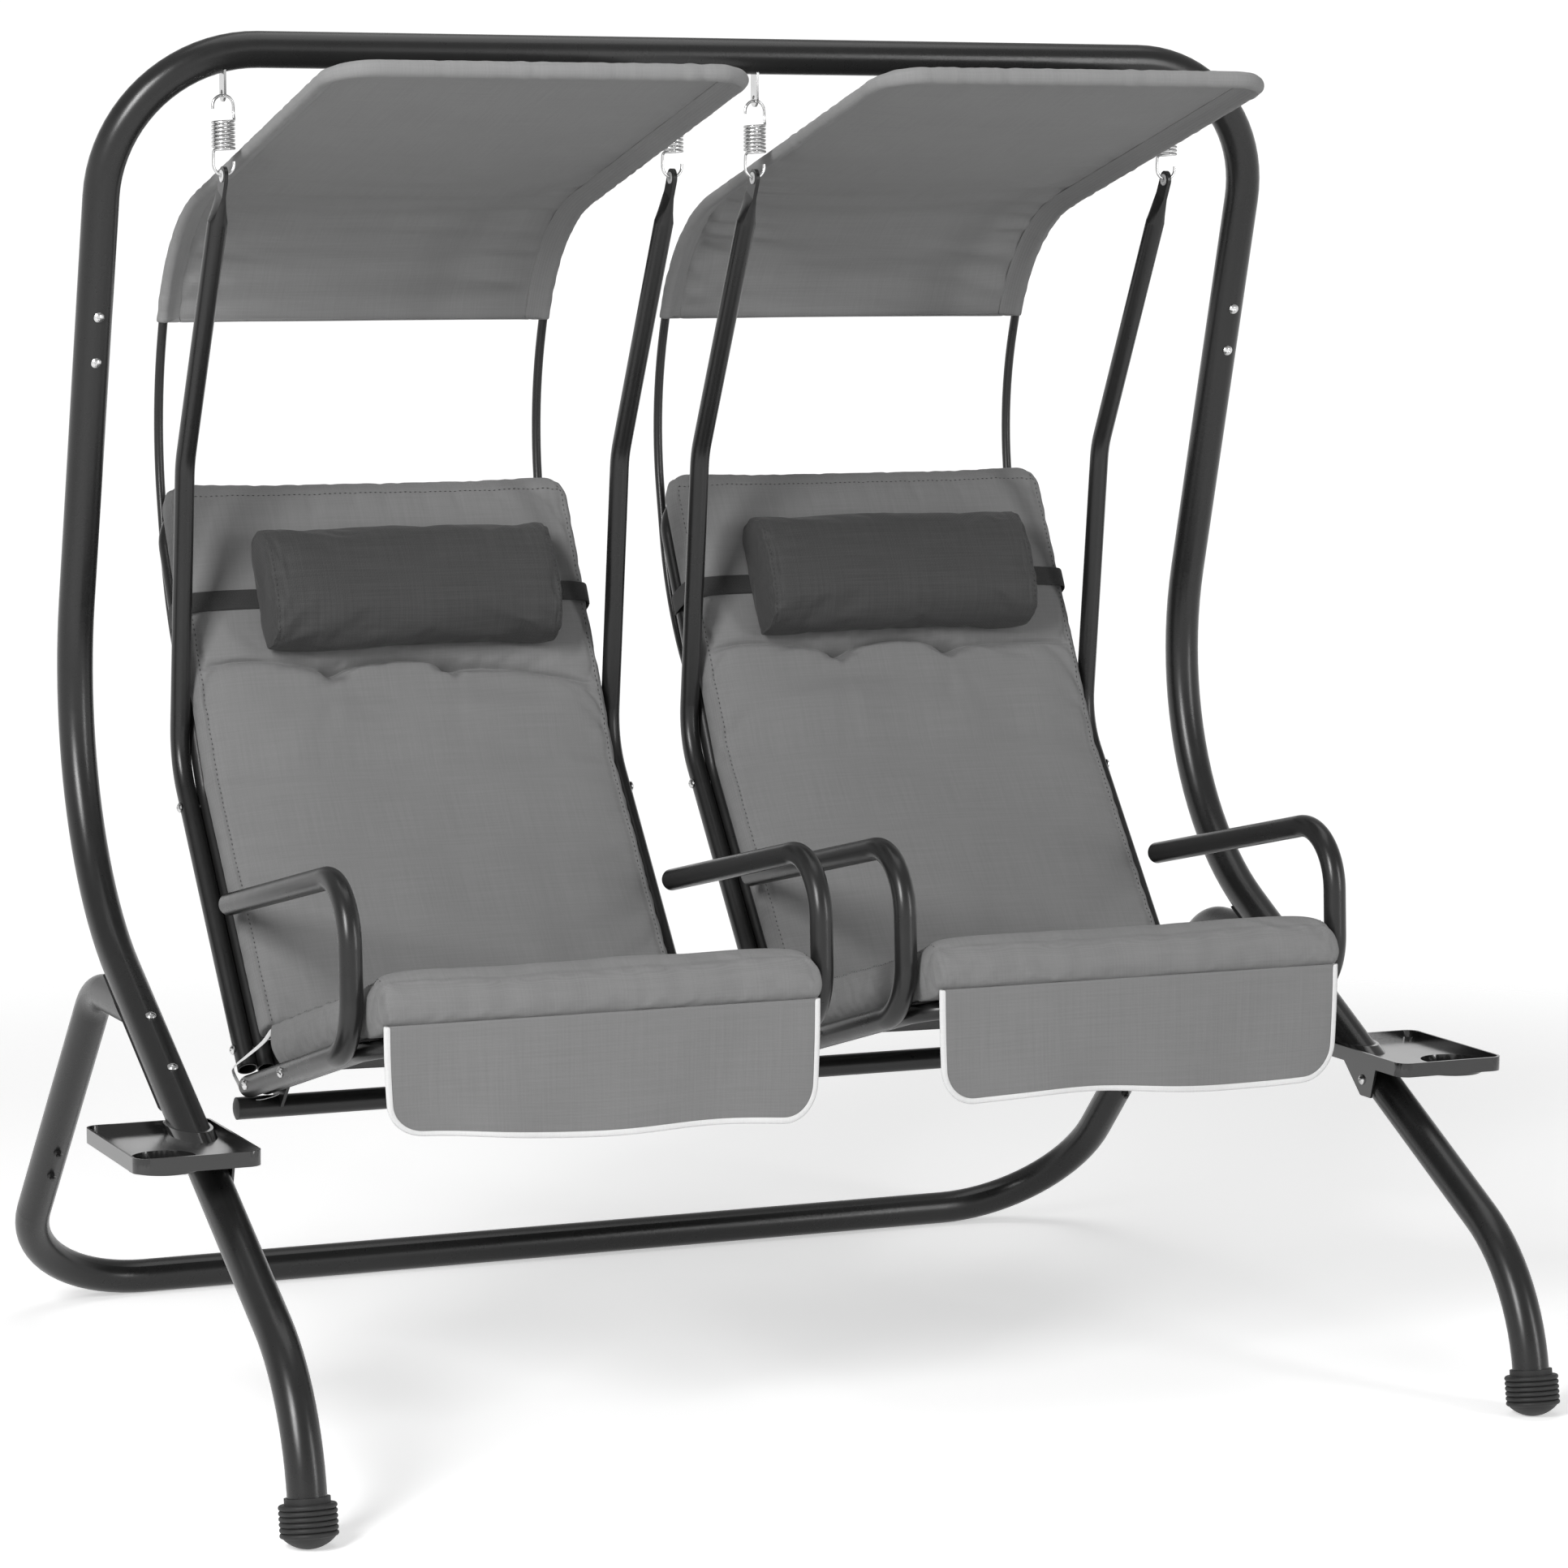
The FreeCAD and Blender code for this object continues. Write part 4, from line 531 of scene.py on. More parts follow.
def smooth_noise(points: np.ndarray, scale: float, seed: float) -> np.ndarray:
    """Smooth noise from -1 to 1 at each point.

    Args:
        points: One row each.
        scale: Waves per metre.
        seed: Shift of the noise.

    Returns:
        One number for each point.
    """
    shift = Vector([seed * step for step in NOISE_SHIFT])
    return np.array([noise.noise(Vector(point) * scale + shift) for point in points])


class SidePath:
    """A path in the side view: straight runs joined by arcs, measured along its length."""

    def __init__(self, points: list[tuple[float, float]], bends: list[float]) -> None:
        """Round the corners of a path.

        Args:
            points: (y, z) of each corner.
            bends: The bend radius at each inner corner.
        """
        corners = [np.array(point, float) for point in points]
        track = [corners[0]]
        for before, corner, after, bend in zip(corners, corners[1:], corners[2:], bends):
            back = (before - corner) / np.linalg.norm(before - corner)
            onward = (after - corner) / np.linalg.norm(after - corner)
            half = math.acos(float(np.clip(back @ onward, -1, 1))) / 2
            middle = (back + onward) / np.linalg.norm(back + onward)
            centre = corner + middle * (bend / math.sin(half))
            enter = corner + back * (bend / math.tan(half)) - centre
            leave = corner + onward * (bend / math.tan(half)) - centre
            turn = math.pi - 2 * half
            for share in np.linspace(0, 1, ARC_POINTS):
                mixed = enter * math.sin((1 - share) * turn) + leave * math.sin(share * turn)
                track.append(centre + mixed / math.sin(turn))
        track.append(corners[-1])
        self.track = np.array(track)
        self.reach = reach_along(self.track)
        self.length = float(self.reach[-1])

    def at(self, along: np.ndarray, off: np.ndarray) -> tuple[np.ndarray, np.ndarray]:
        """Places beside the path.

        Args:
            along: Lengths along the path.
            off: Distances to the left of its way.

        Returns:
            y and z of each place.
        """
        y = np.interp(along, self.reach, self.track[:, 0])
        z = np.interp(along, self.reach, self.track[:, 1])
        inside = np.clip(along, 0, self.length)
        ahead = np.clip(inside + TANGENT_STEP, 0, self.length)
        behind = np.clip(inside - TANGENT_STEP, 0, self.length)
        dy = np.interp(ahead, self.reach, self.track[:, 0]) - np.interp(behind, self.reach, self.track[:, 0])
        dz = np.interp(ahead, self.reach, self.track[:, 1]) - np.interp(behind, self.reach, self.track[:, 1])
        size = np.hypot(dy, dz)
        beyond = along - inside
        return y + (beyond * dy - off * dz) / size, z + (beyond * dz + off * dy) / size


class Shell:
    """The skin of a block of cells: a closed grid whose points have coordinates from 0 to 1."""

    def __init__(self, across: int, along: int, deep: int) -> None:
        """Number the points on the skin and join them.

        Args:
            across: Cells in the first direction.
            along: Cells in the second direction.
            deep: Cells in the third direction.
        """
        counts = (across, along, deep)
        index: dict[tuple[int, int, int], int] = {}
        self.faces = []
        self.cells = counts

        def number(cell: tuple[int, int, int]) -> int:
            """The index of a lattice point, new or known."""
            return index.setdefault(cell, len(index))

        for axis in range(3):
            u, v = [other for other in range(3) if other != axis]
            for end in (0, counts[axis]):
                for i in range(counts[u]):
                    for j in range(counts[v]):
                        quad = []
                        for du, dv in ((0, 0), (1, 0), (1, 1), (0, 1)):
                            cell = [0, 0, 0]
                            cell[axis], cell[u], cell[v] = end, i + du, j + dv
                            quad.append(number(tuple(cell)))
                        outward = (end > 0) == (axis != 1)
                        self.faces.append(tuple(quad if outward else quad[::-1]))
        self.lattice = np.array(list(index), int)
        self.unit = self.lattice / np.array(counts, float)

    def run(self, fixed: dict[int, int]) -> np.ndarray:
        """Points of the skin that share two lattice coordinates, in order.

        Args:
            fixed: Direction to cell number, counted from the far end where negative.

        Returns:
            Vertex indices.
        """
        held = np.ones(len(self.lattice), bool)
        for axis, cell in fixed.items():
            held &= self.lattice[:, axis] == (cell if cell >= 0 else self.cells[axis] + 1 + cell)
        found = np.flatnonzero(held)
        return found[np.argsort(self.lattice[found, 3 - sum(fixed)])]

    def runs(self, *fixed: dict[int, int]) -> list[np.ndarray]:
        """Several runs of points.

        Args:
            fixed: One pair of fixed coordinates for each run.

        Returns:
            Vertex indices of each run.
        """
        return [self.run(each) for each in fixed]


def dense_steps(count: int, length: float, marks: tuple[float, ...], width: float,
                weight: float) -> np.ndarray:
    """Positions along a length that crowd together near marks.

    Args:
        count: Number of steps.
        length: The length.
        marks: Where to crowd.
        width: How far a crowd reaches.
        weight: How much closer the steps get.

    Returns:
        count + 1 positions from 0 to the length.
    """
    fine = np.linspace(0, length, DENSITY_SAMPLES)
    density = np.ones_like(fine)
    for mark in marks:
        density += weight * np.exp(-((fine - mark) / width) ** 2)
    reach = np.concatenate([[0.0], np.cumsum((density[1:] + density[:-1]) / 2)])
    return np.interp(np.linspace(0, reach[-1], count + 1), reach, fine)


def pad_columns(half: float) -> np.ndarray:
    """Positions across a cushion, closer at its sides.

    Args:
        half: Half its width.

    Returns:
        Positions from -half to half.
    """
    return dense_steps(PAD_COLUMNS, 2 * half, (0.0, 2 * half), width=0.02, weight=1.6) - half


def round_corner(x: np.ndarray, s: np.ndarray, corner: tuple[float, float], signs: tuple[int, int],
                 radius: float) -> None:
    """Bend one square corner of a flat grid into a round one, in place.

    Args:
        x: First coordinates.
        s: Second coordinates.
        corner: The corner's place.
        signs: The way that the corner points, for each coordinate.
        radius: The corner's radius.
    """
    dx = (x - corner[0]) * signs[0] + radius
    ds = (s - corner[1]) * signs[1] + radius
    inside = (dx > 0) & (ds > 0)
    reach = np.hypot(dx[inside], ds[inside])
    scale = np.maximum(dx[inside], ds[inside]) / reach
    x[inside] = corner[0] + signs[0] * (dx[inside] * scale - radius)
    s[inside] = corner[1] + signs[1] * (ds[inside] * scale - radius)


def inflate(obj: bpy.types.Object, pins: np.ndarray, pressure: float, slack: float, cap: float) -> None:
    """Simulate cloth on a piece and keep the result in its mesh.

    Args:
        obj: The piece.
        pins: Vertex indices that stay.
        pressure: Pressure inside it.
        slack: Spare cloth as a share of its length.
        cap: How far a point may move.
    """
    data = obj.data
    start = np.zeros(len(data.vertices) * 3)
    data.vertices.foreach_get("co", start)
    start = start.reshape(-1, 3)
    group = obj.vertex_groups.new(name="pins")
    group.add([int(i) for i in pins], 1.0, "REPLACE")
    modifier = obj.modifiers.new("cloth", "CLOTH")
    cloth = modifier.settings
    for key, value in FILLED_CLOTH.items():
        setattr(cloth, key, value)
    cloth.vertex_group_mass = group.name
    cloth.shrink_min = -slack
    cloth.uniform_pressure_force = pressure
    cloth.effector_weights.gravity = 0
    modifier.collision_settings.use_collision = False
    scene = bpy.context.scene
    modifier.point_cache.frame_start = 1
    modifier.point_cache.frame_end = SIM_FRAMES
    for step in range(1, SIM_FRAMES + 1):
        scene.frame_set(step)
    settled = obj.evaluated_get(bpy.context.evaluated_depsgraph_get()).to_mesh()
    moved = np.zeros(len(settled.vertices) * 3)
    settled.vertices.foreach_get("co", moved)
    moved = moved.reshape(-1, 3)
    obj.modifiers.remove(modifier)
    scene.frame_set(1)
    shift = moved - start
    size = np.linalg.norm(shift, axis=1, keepdims=True)
    shift *= cap * np.tanh(size / cap) / np.maximum(size, 1e-9)
    data.vertices.foreach_set("co", (start + shift).ravel())
    data.update()
    log.info("%s moved up to %.1f mm", obj.name, 1000 * np.linalg.norm(shift, axis=1).max())


def carve(obj: bpy.types.Object, shift: np.ndarray) -> None:
    """Move the points of a piece.

    Args:
        obj: The piece.
        shift: One row for each vertex.
    """
    spots = np.zeros(len(obj.data.vertices) * 3)
    obj.data.vertices.foreach_get("co", spots)
    obj.data.vertices.foreach_set("co", spots + shift.ravel())
    obj.data.update()


def subdivide(obj: bpy.types.Object, levels: int = 1) -> None:
    """Smooth a piece by subdivision.

    Args:
        obj: The piece.
        levels: Subdivision levels.
    """
    modifier = obj.modifiers.new("smooth", "SUBSURF")
    modifier.levels = levels
    modifier.render_levels = levels


def smooth_line(route: np.ndarray, steps: int) -> np.ndarray:
    """A smooth line through points.

    Args:
        route: The points.
        steps: Points for each run.

    Returns:
        Points along the line.
    """
    ends = np.concatenate([[2 * route[0] - route[1]], route, [2 * route[-1] - route[-2]]])
    line = []
    for a, b, c, d in zip(ends, ends[1:], ends[2:], ends[3:]):
        for t in np.linspace(0, 1, steps, endpoint=False):
            bend = (2 * a - 5 * b + 4 * c - d) * t + (3 * b - a - 3 * c + d) * t * t + (c - a)
            line.append(b + bend * t / 2)
    return np.array(line + [route[-1]])


def stitch_run(track: np.ndarray, normals: np.ndarray, pitch: float = 0.007, thick: float = 0.0007) -> Mesh:
    """Thread stitches along a line.

    Args:
        track: Points of the line.
        normals: The cloth's normal at each point.
        pitch: Distance from stitch to stitch.
        thick: Half the thread's width.

    Returns:
        The stitches' mesh.
    """
    reach = reach_along(track)

    def along(values: np.ndarray, at: float) -> np.ndarray:
        """Values at a length along the line."""
        return np.array([np.interp(at, reach, values[:, k]) for k in range(3)])

    points, faces, weave = [], [], []
    for start in np.arange(pitch / 2, reach[-1] - pitch, pitch):
        ends = [along(track, at) for at in (start, start + pitch * STITCHED_SHARE)]
        normal = along(normals, start)
        normal /= np.linalg.norm(normal)
        way = ends[1] - ends[0]
        side = np.cross(way, normal)
        side /= max(np.linalg.norm(side), 1e-9)
        first = len(points)
        middle = (ends[0] + ends[1]) / 2
        ring = [side, normal, -side, -normal]
        points += [ends[0]] + [middle + thick * out for out in ring] + [ends[1]]
        weave += [(0.0, 0.0)] * 6
        for k in range(4):
            faces += [(first, first + 1 + (k + 1) % 4, first + 1 + k),
                      (first + 5, first + 1 + k, first + 1 + (k + 1) % 4)]
    return Mesh(np.array(points), faces, np.array(weave))


# The stand


@dataclass(frozen=True)
class Stand:
    """The tube stand with its feet and trays.

    Attributes:
        body: The CAD body that its pieces ride on.
        edge: Width of the trays' round edges.
        steps: Steps of a round edge.
        sharp: Angle in degrees from which an edge is rounded.
        flat: Angle in degrees up to which faces are joined.
        weld: Distance up to which points are joined.
    """

    body: str = "frame"
    edge: float = 0.0012
    steps: int = 3
    sharp: float = 40.0
    flat: float = 1.0
    weld: float = 1e-5

    def build(self, finishes: Finishes) -> list[bpy.types.Object]:
        """Dress all CAD pieces and rebuild the trays with moulded edges.

        Args:
            finishes: The materials.

        Returns:
            The trays.
        """
        slots = {row["node"]: row["material_slot"] for row in frame["record"]["subparts"]}
        for node, obj in frame["nodes"].items():
            finishes.dress(obj, slots[node])
        return [self.moulded(f"tray_{side}") for side in ("left", "right")]

    def moulded(self, node: str) -> bpy.types.Object:
        """Replace a CAD node by a copy with small round edges.

        Args:
            node: The CAD node.

        Returns:
            The new piece.
        """
        source = frame["nodes"][node]
        data = source.data.copy()
        obj = bpy.data.objects.new(node + "_moulding", data)
        bpy.context.scene.collection.objects.link(obj)
        work = bmesh.new()
        work.from_mesh(data)
        bmesh.ops.remove_doubles(work, verts=work.verts, dist=self.weld)
        bmesh.ops.dissolve_limit(work, angle_limit=math.radians(self.flat), verts=work.verts,
                                 edges=work.edges)
        work.to_mesh(data)
        work.free()
        bevel = obj.modifiers.new("edges", "BEVEL")
        bevel.width = self.edge
        bevel.segments = self.steps
        bevel.limit_method = "ANGLE"
        bevel.angle_limit = math.radians(self.sharp)
        bevel.harden_normals = True
        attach(obj, self.body)
        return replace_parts(obj, node)


# The seats


JOINTS = {joint["name"]: joint for joint in frame["record"]["behaviour"]["joints"]}
BACK_WAY = np.array(JOINTS["left_headrest_slide"]["axis"], float)
BACK_FRONT = np.array([0.0, -BACK_WAY[2], BACK_WAY[1]])
BOLSTER_PLACE = np.array([0.0, 0.3864, 0.942])


@dataclass(frozen=True)
class SeatPlace:
    """Where one seat hangs, and what its pieces share.

    Attributes:
        side: "left" or "right".
        sign: -1 or 1.
        finishes: The materials.
        pitch: Distance between the two seats' middles.
    """

    side: str
    sign: int
    finishes: Finishes
    pitch: float = 0.7

    @property
    def x(self) -> float:
        """The seat's middle plane."""
        return self.sign * self.pitch / 2

    @property
    def seed(self) -> float:
        """The seat's own shift of the noise."""
        return self.sign + 2.0

    def named(self, name: str) -> str:
        """The full name of one of this seat's bodies, nodes or pieces.

        Args:
            name: The name without the side.

        Returns:
            The name with the side.
        """
        return f"{self.side}_{name}"

    def put(self, mesh: Mesh, name: str, finish: str, body: str = "seat", node: str = "") -> bpy.types.Object:
        """Make a piece of this seat, move it to the seat and let it ride.

        Args:
            mesh: The piece, centred on the seat's middle plane.
            name: The piece's name without the side.
            finish: Its material.
            body: The CAD body it rides on, without the side.
            node: The CAD node it stands for, without the side, if any.

        Returns:
            The object.
        """
        mesh.points[:, 0] += self.x
        obj = mesh.make(self.named(name), self.finishes, finish)
        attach(obj, self.named(body))
        if node:
            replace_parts(obj, self.named(node))
        return obj

    def ripples(self, x: np.ndarray, s: np.ndarray, scale: float, seed: float) -> np.ndarray:
        """Noise on a flat cloth coordinate.

        Args:
            x: First coordinates.
            s: Second coordinates.
            scale: Waves per metre.
            seed: Shift of the noise.

        Returns:
            Heights from -1 to 1.
        """
        return smooth_noise(np.stack([x, s, np.zeros_like(x)], axis=1), scale, self.seed + seed)

    def from_bolster(self, obj: bpy.types.Object) -> np.ndarray:
        """Where the points of a piece lie from the bolster's place on the back.

        Args:
            obj: The piece.

        Returns:
            One row for each point.
        """
        return np.array([vertex.co for vertex in obj.data.vertices]) - np.array([self.x, *BOLSTER_PLACE[1:]])

    def seams(self, obj: bpy.types.Object, edges: list[np.ndarray], name: str, normal: tuple) -> None:
        """Stitches along sewn lines of a piece.

        Args:
            obj: The piece.
            edges: Vertex indices along each line.
            name: Name of the stitches.
            normal: The way that the cloth faces.
        """
        stand = 0.0003
        runs = []
        for edge in edges:
            track = np.array([obj.data.vertices[int(i)].co for i in edge])
            track += np.array(normal) * stand
            runs.append(stitch_run(track, np.tile(normal, (len(track), 1))))
        stitches = joined(runs).make(self.named(name), self.finishes, "headrest_cloth")
        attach(stitches, obj["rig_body"])


@dataclass(frozen=True)
class Springs:
    """The springs of a seat, copied from their CAD piece.

    Attributes:
        high: Height above which the wire stays with the upper hooks. Not used.
        low: Height below which it follows the seat. Not used.
    """

    high: float = 1.575
    low: float = 1.540

    def build(self, place: SeatPlace) -> bpy.types.Object:
        """Make the wire.

        Args:
            place: The seat's place.

        Returns:
            The springs.
        """
        node = place.named("springs")
        obj = bpy.data.objects.new(node + "_wire", frame["nodes"][node].data.copy())
        bpy.context.scene.collection.objects.link(obj)
        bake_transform(obj)
        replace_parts(obj, node)
        return obj


@dataclass(frozen=True)
class BackPad:
    """The back cushion: boxed sides, crowned front, a tucked cross seam and two tufts. Metres.

    Attributes:
        line: Its base line in the side view.
        bend: The base line's bend.
        half: Half its width at the seams.
        bulge: How far the side strips swell.
        edge: Height of the side strips.
        crown: Rise of the front panel.
        corner: Radius of the upper corners.
        ear: How far the upper corners stand above the middle.
        ear_place: Where across they begin to rise, and over which width.
        tuft_z: Height of the tufts on the base line.
        tuft_x: Half the distance between the tufts.
        tuft_shift: How far the tufts lie off the middle.
        seam: Rise of the cross seam at its left end, in its three arches, and at its right end.
        folds: Angle in degrees, reach and share of the depth of each fold at a tuft.
        fold_depth: Depth of the folds.
        tuck: Depth of the cross seam before and after the cushion is filled.
        pit: Depth of the tufts before and after the cushion is filled.
        lift: Swell below the cross seam.
        lift_place: How far below the seam it is highest, and its width.
        waves: Height of the broad and the smaller waves of the front panel.
        slant: Height of the slanting creases below the seam.
        drag: Height of the upright creases above the seat.
        pucker: Height of the puckers along the edge seams.
        dip: Depth of the stitched line inside the edge seams.
        clear: Where the bolster's rear lies, from its place.
        sweep: How far down the bolster reaches on its travel.
        soften: How softly the panel is pressed under the bolster.
        fade: How far below the bolster's travel the pressing fades out.
        cap: How far the filling moves a point.
        cells: Cells along and deep.
        pull: How far from the cross seam the cloth follows its arches.
        top_fall: How far below the top the crown begins to fall.
        groove: Width of the cross seam's groove above and below the seam.
        fold_shape: A fold's width at its tuft, how fast it widens, and how soon it is at full depth.
    """

    line: tuple = ((0.0334, 0.4507), (0.2613, 0.7333), (0.4516, 1.0934))
    bend: float = 0.107
    half: float = 0.271
    bulge: float = 0.007
    edge: float = 0.036
    crown: float = 0.010
    corner: float = 0.026
    ear: float = 0.003
    ear_place: tuple = (0.15, 0.08)
    tuft_z: float = 0.860
    tuft_x: float = 0.080
    tuft_shift: float = 0.0
    seam: tuple = (0.009, 0.013, 0.015, 0.006, 0.002)
    folds: tuple = ((-84, 0.10, 0.7), (-52, 0.09, 0.8), (-14, 0.075, 1.0), (24, 0.06, 0.8), (66, 0.10, 0.7),
                    (128, 0.05, 0.5), (-126, 0.05, 0.5))
    fold_depth: float = 0.0105
    tuck: tuple = (0.0060, 0.0110)
    pit: tuple = (0.004, 0.009)
    lift: float = 0.0045
    lift_place: tuple = (0.022, 0.02)
    waves: tuple = (0.0060, 0.0028)
    slant: float = 0.0100
    drag: float = 0.0022
    pucker: float = 0.0030
    dip: float = 0.0016
    clear: float = 0.0615
    sweep: float = 0.132
    soften: float = 0.005
    fade: float = 0.05
    cap: float = 0.008
    cells: tuple = (118, 7)
    pull: float = 0.07
    top_fall: float = 0.09
    groove: tuple = (0.006, 0.0045)
    fold_shape: tuple = (0.005, 0.11, 0.008)

    def cross_seam(self, x: np.ndarray) -> np.ndarray:
        """Rise of the cross seam above its tufts: arches hung between the tufts and the sides.

        Args:
            x: Places across.

        Returns:
            The rise at each place.
        """
        tufts = [self.tuft_shift - self.tuft_x, self.tuft_shift + self.tuft_x]
        stops = np.array([-self.half, *tufts, self.half])
        levels = np.array([self.seam[0], 0.0, 0.0, self.seam[4]])
        index = np.clip(np.searchsorted(stops, x) - 1, 0, 2)
        share = np.clip((x - stops[index]) / (stops[index + 1] - stops[index]), 0, 1)
        arch = np.array(self.seam[1:4])[index] * np.sin(math.pi * share)
        return np.interp(x, stops, levels) + arch

    def tuft_folds(self, x: np.ndarray, off: np.ndarray, seed: float) -> tuple[np.ndarray, np.ndarray]:
        """Pits at the tufts and the folds that run out from them.

        Args:
            x: Places across.
            off: Distances above the tufts.
            seed: The seat's own shift.

        Returns:
            Depth of the pits from 0 to 1, and of the folds.
        """
        pit_width = 0.013
        narrow, spread, start = self.fold_shape
        pits = np.zeros_like(x)
        folds = np.zeros_like(x)
        for turn in (-1, 1):
            dx = x - self.tuft_shift - turn * self.tuft_x
            far = np.hypot(dx, off)
            pits += np.exp(-(far / pit_width) ** 2)
            for number, (angle, reach, depth) in enumerate(self.folds):
                swing = math.radians(angle + 9 * math.sin(seed * 7 + number * 3 + turn))
                along = dx * math.sin(swing) - off * math.cos(swing)
                aside = dx * math.cos(swing) + off * math.sin(swing)
                out = np.clip(along, 0, 1)
                width = narrow + spread * out
                fade = np.exp(-out / (reach / 2)) * (along > 0) * np.clip(along / start, 0, 1)
                ridge = 0.5 * np.exp(-((aside / width - 1.7) ** 2))
                folds += depth * fade * (np.exp(-(aside / width) ** 2) - ridge)
        return pits, folds

    def build(self, place: SeatPlace) -> bpy.types.Object:
        """Make the cushion, fill it, sew it and press it under the bolster.

        Args:
            place: The seat's place.

        Returns:
            The cushion.
        """
        path = SidePath(list(self.line), [self.bend])
        top = path.length + self.ear
        tuft_s = float(np.interp(self.tuft_z, path.track[:, 1], path.reach))
        rows = dense_steps(self.cells[0], path.length, (tuft_s,), width=0.022, weight=3.5)
        rows[np.argmin(np.abs(rows - tuft_s))] = tuft_s
        shell = Shell(PAD_COLUMNS, *self.cells)
        unit, cells = shell.unit, shell.lattice
        x, s, deep = pad_columns(self.half)[cells[:, 0]].copy(), rows[cells[:, 1]].copy(), unit[:, 2]
        s += self.cross_seam(x) * np.exp(-((s - tuft_s) / self.pull) ** 2)
        off = s - tuft_s - self.cross_seam(x)
        ear_from, ear_width = self.ear_place
        upper_quarter = np.clip(unit[:, 1] * 4 - 3, 0, 1)
        s += self.ear * upper_quarter * np.clip((np.abs(x) - ear_from) / ear_width, 0, 1)
        for sign in (-1, 1):
            round_corner(x, s, (sign * self.half, top), (sign, 1), self.corner)
        bulge = 4 * deep * (1 - deep) * self.bulge
        rim_x = np.abs(unit[:, 0] * 2 - 1) == 1
        rim_s = (unit[:, 1] == 0) | (unit[:, 1] == 1)
        front = deep == 1
        across = np.clip(1 - np.abs(x / self.half) ** 3, 0, 1)
        dome = across * np.sin(np.clip((top - s) / self.top_fall, 0, 1) * math.pi / 2)
        pits, folds = self.tuft_folds(x, s - tuft_s, place.seed)
        tuck = np.exp(-np.abs(off) / np.where(off > 0, *self.groove))
        broad = place.ripples(x, s, scale=4.5, seed=0.0) * self.waves[0]
        broad += place.ripples(x, s, scale=11.0, seed=3.0) * self.waves[1]
        height = self.edge + (self.crown + broad) * dome - self.tuck[0] * tuck * across - self.pit[0] * pits
        relief = self.creases(place, x, s, off, dome, top)
        below, width = self.lift_place
        relief += self.lift * np.where(off < 0, np.exp(-((off + below) / width) ** 2), 0.0) * across
        relief -= self.tuck[1] * tuck * across + self.pit[1] * pits + self.fold_depth * folds * across
        n = np.where(front, height, deep * self.edge)
        x = np.where(rim_x, x + np.sign(x) * bulge, x)
        s = np.where(unit[:, 1] == 1, s + bulge, s)
        y, z = path.at(s, n)
        carved_y, carved_z = path.at(s, n + relief * front)
        weave = np.stack([x + np.where(rim_x, np.sign(x) * n, 0), s + np.where(rim_s, n, 0)], axis=1)
        mesh = Mesh(np.stack([x, y, z], axis=1), shell.faces, weave)
        obj = place.put(mesh, "back_pad", "cushion_cloth", node="back_cushion")
        edges = shell.runs({0: 0, 2: -1}, {0: -1, 2: -1}, {1: -1, 2: -1}, {1: 0, 2: -1})
        lying, tufted, sewn = 0.3, 0.4, 0.75
        held = np.flatnonzero((deep < lying) | (pits * front > tufted) | (tuck * across * front > sewn))
        pins = np.unique(np.concatenate([held] + edges))
        inflate(obj, pins, pressure=3.5, slack=0.014, cap=self.cap)
        carve(obj, np.stack([np.zeros_like(y), carved_y - y, carved_z - z], axis=1))
        self.press_flat(obj, place)
        inside = shell.runs({0: 2, 2: -1}, {0: -3, 2: -1}, {1: -3, 2: -1})
        place.seams(obj, inside, "back_stitches", tuple(BACK_FRONT))
        subdivide(obj)
        return obj

    def creases(self, place: SeatPlace, x: np.ndarray, s: np.ndarray, off: np.ndarray, dome: np.ndarray,
                top: float) -> np.ndarray:
        """Creases and puckers of the front panel.

        Args:
            place: The seat's place.
            x: Places across.
            s: Places along.
            off: Distances above the cross seam.
            dome: Share of the crown at each place.
            top: Where the panel ends.

        Returns:
            Heights.
        """
        slant_below, slant_reach, slant_shear = 0.03, 0.10, 0.35
        drag_at, drag_reach, drag_stretch = 0.08, 0.1, 0.2
        pucker_reach, pucker_stretch = 0.030, 0.15
        dip_inside, dip_width = 0.007, 0.004
        inner = np.minimum(self.half - np.abs(x), top - s)
        sheared = (x * slant_shear + s, (s - x) * slant_shear)
        slant = place.ripples(*sheared, scale=13.0, seed=5.0) * self.slant
        slant *= np.exp(-((off + slant_below) / slant_reach) ** 2)
        drag = place.ripples(x, s * drag_stretch, scale=20.0, seed=7.0) * self.drag
        drag *= np.exp(-np.abs(s - drag_at) / drag_reach)
        pucker = place.ripples(x * pucker_stretch, s, scale=50.0, seed=9.0) * self.pucker
        pucker *= np.exp(-np.clip(inner, 0, 1) / pucker_reach)
        return (slant + drag) * dome + pucker - self.dip * np.exp(-((inner - dip_inside) / dip_width) ** 2)

    def press_flat(self, obj: bpy.types.Object, place: SeatPlace) -> None:
        """Press the panel where the bolster slides, so that the bolster clears it everywhere.

        Args:
            obj: The cushion.
            place: The seat's place.
        """
        spots = place.from_bolster(obj)
        fade = np.clip((spots @ BACK_WAY + self.sweep + self.fade) / self.fade, 0, 1)
        over = np.clip(spots @ BACK_FRONT - (self.clear - self.soften), 0, None) * fade ** 2 * (3 - 2 * fade)
        carve(obj, np.outer(self.soften * np.tanh(over / self.soften) - over, BACK_FRONT))


